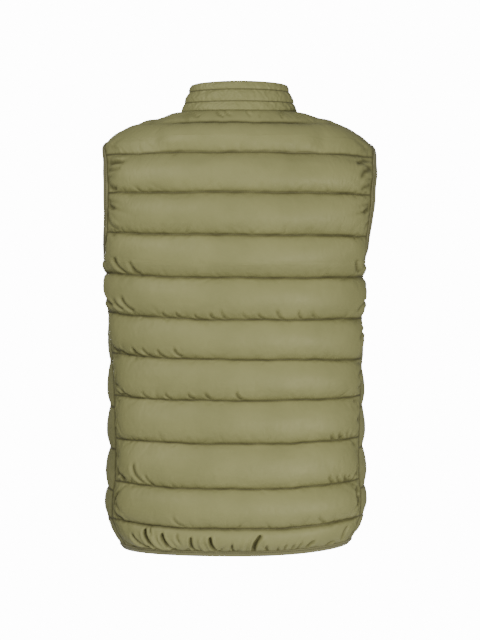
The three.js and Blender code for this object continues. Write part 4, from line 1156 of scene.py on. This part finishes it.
leftBinding, leftStitched, leftOut = armholeBinding("leftArmholeBinding", 1, "left_armhole_binding")
rightBinding, rightStitched, rightOut = armholeBinding("rightArmholeBinding", -1, "right_armhole_binding")
hemPiece, hemStitched, hemOut = hemBindingPiece()
print("bindings made")

# ---- the zip: tapes as cloth, teeth modelled once and set along them
zipper = {
    "tapeWidth": 16.8,
    "tape": 1.0,
    "behind": 0.6,  # between the tape and the front
    "halfGap": 0.2,
    "parted": 1.7,
    "sliderTop": 4.0,
    "sliderLength": 11.0,
    "pitch": 2.6,
    "steps": 260,
}


def zipLine():
    bottom = backLines[-1][0] - vest["hemGap"] - vest["hemBinding"] + 1
    places, outs, heights = [], [], []
    for level in np.arange(bottom, -neckline["frontDrop"] - 1, 4.0):
        arc = np.array([arcNearFront(level, 1, vest["zipOpening"] / 2)])
        places.append(clothPoints(level, arc)[0] * [0, 1, 1])
        out = clothNormals(level, arc)[0] * [0, 1, 1]
        outs.append(out / np.linalg.norm(out))
        heights.append(-1.0)
    base, slant, out = collarColumns()
    for height in np.arange(3.0, collar["height"], 1.4):
        places.append((base[0] + slant[0] * height) * [0, 1, 1])
        outs.append(out[0])
        heights.append(height)
    places, outs, heights = np.array(places), np.array(outs), np.array(heights)
    runs = np.concatenate([[0], np.cumsum(np.linalg.norm(np.diff(places, axis=0), axis=1))])

    def at(run):
        place = np.stack([np.interp(run, runs, places[:, k]) for k in range(3)], -1)
        out = unit(np.stack([np.interp(run, runs, outs[:, k]) for k in range(3)], -1))
        ahead = np.stack([np.interp(run + 1, runs, places[:, k]) for k in range(3)], -1)
        behind = np.stack([np.interp(run - 1, runs, places[:, k]) for k in range(3)], -1)
        sliderMiddle = collar["height"] - zipper["sliderTop"] - zipper["sliderLength"] / 2
        parted = mix(zipper["halfGap"], zipper["parted"], smooth((np.interp(run, runs, heights) - sliderMiddle + 6) / 5))
        return place, out, unit(ahead - behind), parted

    return at, float(runs[-1])


zipAt, zipLength = zipLine()


def zipTape(name, side):
    run = np.linspace(0, zipLength, zipper["steps"])
    place, out, up, parted = zipAt(run)
    edge = zipper["tapeWidth"]
    section = [(0.0, -0.5), (0.3, 0.0), (1.0, 0.55), (2.4, 0.55), (3.0, 0.0), (edge - 0.4, 0.0), (edge, -0.5),
               (edge - 0.4, -1.0), (3.0, -1.0), (2.4, -1.2), (1.0, -1.2), (0.3, -1.0)]
    sections = []
    for across, lift in section:
        point = place + out * (lift - vest["cloth"] - zipper["behind"])
        point[:, 0] = side * (np.minimum(parted + across, edge))
        sections.append(point)
    sections = np.stack(sections, 1)
    uvs = np.stack(np.broadcast_arrays(run[:, None], np.array([c[0] for c in section])[None, :]), 2)
    piece = hoopMesh(name, sections, uvs, False)
    finishPiece(piece, tapeCloth, ["left_zip" if side > 0 else "right_zip"])
    return piece


def modelledPoints(piece):
    bpy.ops.object.transform_apply(location=True, rotation=True, scale=True)
    points = np.array([v.co[:] for v in piece.data.vertices]) * 1000
    faces = [list(f.vertices) for f in piece.data.polygons]
    mesh = piece.data
    bpy.data.objects.remove(piece)
    bpy.data.meshes.remove(mesh)
    return points, faces


def startCube(scale):
    bpy.ops.object.select_all(action="DESELECT")
    bpy.ops.mesh.primitive_cube_add(size=0.001)
    piece = bpy.context.object
    piece.scale = scale
    bpy.ops.object.transform_apply(location=False, rotation=False, scale=True)
    return piece


def pickFaces(piece, test):
    bpy.ops.object.mode_set(mode="EDIT")
    bpy.ops.mesh.select_mode(type="FACE")
    bpy.ops.mesh.select_all(action="DESELECT")
    bpy.ops.object.mode_set(mode="OBJECT")
    for face in piece.data.polygons:
        face.select = bool(test(face))
    bpy.ops.object.mode_set(mode="EDIT")


def oneTooth():
    # x across the tape, y up the zip, z out of the vest; the head points to -x
    piece = startCube((1.6, 1.2, 2.1))
    pickFaces(piece, lambda face: face.normal.x < -0.9)
    bpy.ops.mesh.extrude_region_move(TRANSFORM_OT_translate={"value": (-0.0008, 0, 0)})
    bpy.ops.transform.resize(value=(1, 0.55, 0.8))
    bpy.ops.mesh.extrude_region_move(TRANSFORM_OT_translate={"value": (-0.0006, 0, 0)})
    bpy.ops.transform.resize(value=(1, 1.8, 1.0))
    bpy.ops.mesh.extrude_region_move(TRANSFORM_OT_translate={"value": (-0.0005, 0, 0)})
    bpy.ops.transform.resize(value=(1, 0.5, 0.8))
    bpy.ops.object.mode_set(mode="OBJECT")
    pickFaces(piece, lambda face: face.normal.x > 0.9)
    bpy.ops.mesh.extrude_region_move(TRANSFORM_OT_translate={"value": (0.0006, 0, 0)})
    bpy.ops.transform.resize(value=(1, 0.6, 0.6))
    bpy.ops.object.mode_set(mode="OBJECT")
    return modelledPoints(piece)


def oneStitch():
    # a short thread that dips at both ends; x along it, z out of the cloth
    piece = startCube((1.1, 0.62, 0.5))
    for way in (-1, 1):
        pickFaces(piece, lambda face: face.normal.x * way > 0.9)
        bpy.ops.mesh.extrude_region_move(TRANSFORM_OT_translate={"value": (way * 0.0005, 0, -0.00012)})
        bpy.ops.transform.resize(value=(1, 0.8, 0.8))
        bpy.ops.mesh.extrude_region_move(TRANSFORM_OT_translate={"value": (way * 0.0003, 0, -0.0003)})
        bpy.ops.transform.resize(value=(1, 0.45, 0.45))
        bpy.ops.object.mode_set(mode="OBJECT")
    return modelledPoints(piece)


def copiesMesh(name, points, faces, middles, axes):
    # axes: three unit vectors for each copy
    count = len(middles)
    places = middles[:, None, :] + np.einsum("pk,nkj->npj", points, axes)
    mesh = bpy.data.meshes.new(name)
    allFaces = [[i + n * len(points) for i in face] for n in range(count) for face in faces]
    mesh.from_pydata((places.reshape(-1, 3) / 1000).tolist(), [], allFaces)
    mesh.update()
    corners = np.empty(len(mesh.loops), dtype=np.int64)
    mesh.loops.foreach_get("vertex_index", corners)
    layer = mesh.uv_layers.new(name="cloth")
    flat = np.tile(points[:, :2], (count, 1)) + np.repeat(np.arange(count), len(points))[:, None] * 0.37
    layer.data.foreach_set("uv", (flat[corners] / 1000).astype(np.float32).reshape(-1))
    if np.linalg.det(axes[0]) < 0:
        mesh.flip_normals()
    piece = bpy.data.objects.new(name, mesh)
    bpy.context.collection.objects.link(piece)
    bpy.ops.object.select_all(action="DESELECT")
    piece.select_set(True)
    bpy.context.view_layer.objects.active = piece
    bpy.ops.object.shade_smooth_by_angle(angle=math.radians(45))
    return piece


def zipTeeth(name, side, start):
    points, faces = toothShape
    run = np.arange(3 + start, zipLength - 2, zipper["pitch"])
    place, out, up, parted = zipAt(run)
    middles = place - out * (vest["cloth"] + zipper["behind"] + 0.35)
    middles[:, 0] = side * (parted + 1.5)
    across = np.tile([side * 1.0, 0, 0], (len(run), 1))
    piece = copiesMesh(name, points, faces, middles, np.stack([across, up, out], 1))
    finishPiece(piece, toothPlastic)
    return piece


toothShape = oneTooth()
leftTape, rightTape = zipTape("leftTape", 1), zipTape("rightTape", -1)
leftTeeth, rightTeeth = zipTeeth("leftTeeth", 1, 0.0), zipTeeth("rightTeeth", -1, zipper["pitch"] / 2)
for node in ("zip_slider", "zip_pull"):
    metal = bpy.data.objects[node]
    metal.data.materials.clear()
    metal.data.materials.append(sliderPaint)
print("zip made,", round(zipLength), "mm")

# ---- stitches
sewing = {"pitch": 3.4, "lift": 0.15}
stitchShape = oneStitch()


def stitchRows(name, rows, closed=False):
    middles, axes = [], []
    for line, normals in rows:
        if closed:
            line, normals = np.concatenate([line, line[:1]]), np.concatenate([normals, normals[:1]])
        runs = np.concatenate([[0], np.cumsum(np.linalg.norm(np.diff(line, axis=0), axis=1))])
        count = int(runs[-1] / sewing["pitch"])
        at = (np.arange(count) + 0.5) * runs[-1] / count
        point = lambda run: np.stack([np.interp(run, runs, line[:, k]) for k in range(3)], 1)
        normal = unit(np.stack([np.interp(at, runs, normals[:, k]) for k in range(3)], 1))
        along = unit(point(at + 1) - point(at - 1))
        aside = unit(np.cross(normal, along))
        middles.append(point(at) + normal * sewing["lift"])
        axes.append(np.stack([along, aside, np.cross(along, aside)], 1))
    piece = copiesMesh(name, *stitchShape, np.concatenate(middles), np.concatenate(axes))
    finishPiece(piece, threadCloth)
    print(name, "made,", len(piece.data.polygons), "faces")
    return piece


for name, rows in seams.items():
    stitchRows(name + "Stitches", rows)
stitchRows("leftArmholeStitches", [(leftStitched, leftOut)], closed=True)
stitchRows("rightArmholeStitches", [(rightStitched, rightOut)], closed=True)
stitchRows("hemStitches", [(hemStitched, hemOut)])

# ---- pale floor and soft studio light
studio = {
    "floorDrop": 0.31,  # below the hem
    "floorRadius": 0.6,
    "fill": 0.2,
    "backdrop": 14.0,
    "keySize": 1.0,
    "keyPower": 41.0,
    "topPower": 29.0,
    "frontPower": 45.0,
}
bpy.ops.mesh.primitive_circle_add(
    vertices=96,
    radius=studio["floorRadius"],
    fill_type="NGON",
    location=(0, 0, cadBox[0][2] - studio["floorDrop"]),
)
floor = bpy.context.object
floor.name = "floor"
floorPaint = bpy.data.materials.new("pale floor")
floorPaint.use_nodes = True
floorShader = floorPaint.node_tree.nodes["Principled BSDF"]
floorShader.inputs["Base Color"].default_value = (0.95, 0.95, 0.95, 1)
floorShader.inputs["Roughness"].default_value = 0.9
floor.data.materials.append(floorPaint)

world = bpy.data.worlds.new("studio")
bpy.context.scene.world = world
world.use_nodes = True
addWorld = nodeAdder(world)
seen = addWorld("ShaderNodeLightPath").outputs["Is Camera Ray"]
strength = addWorld("ShaderNodeMapRange", {"To Min": studio["fill"], "To Max": studio["backdrop"]}, {"Value": seen})
sky = addWorld("ShaderNodeBackground", {"Color": (1, 1, 1, 1)}, {"Strength": strength.outputs["Result"]})
addWorld("ShaderNodeOutputWorld", None, {"Surface": sky.outputs["Background"]})


def softLight(name, place, aim, size, power):
    bpy.ops.object.light_add(type="AREA", location=place)
    lamp = bpy.context.object
    lamp.name = name
    lamp.data.shape = "DISK"
    lamp.data.size = size
    lamp.data.energy = power
    lamp.rotation_euler = (Vector(aim) - Vector(place)).to_track_quat("-Z", "Y").to_euler()
    return lamp


softLight("keyLight", (-1.0, 2.0, -0.75), (0, 0, -0.5), studio["keySize"], studio["keyPower"])
softLight("topLight", (1.1, 1.5, 0.85), (0, 0, -0.1), studio["keySize"], studio["topPower"])
softLight("frontLight", (0.6, -2.6, -0.1), (0, 0, -0.3), studio["keySize"], studio["frontPower"])
print("studio set")
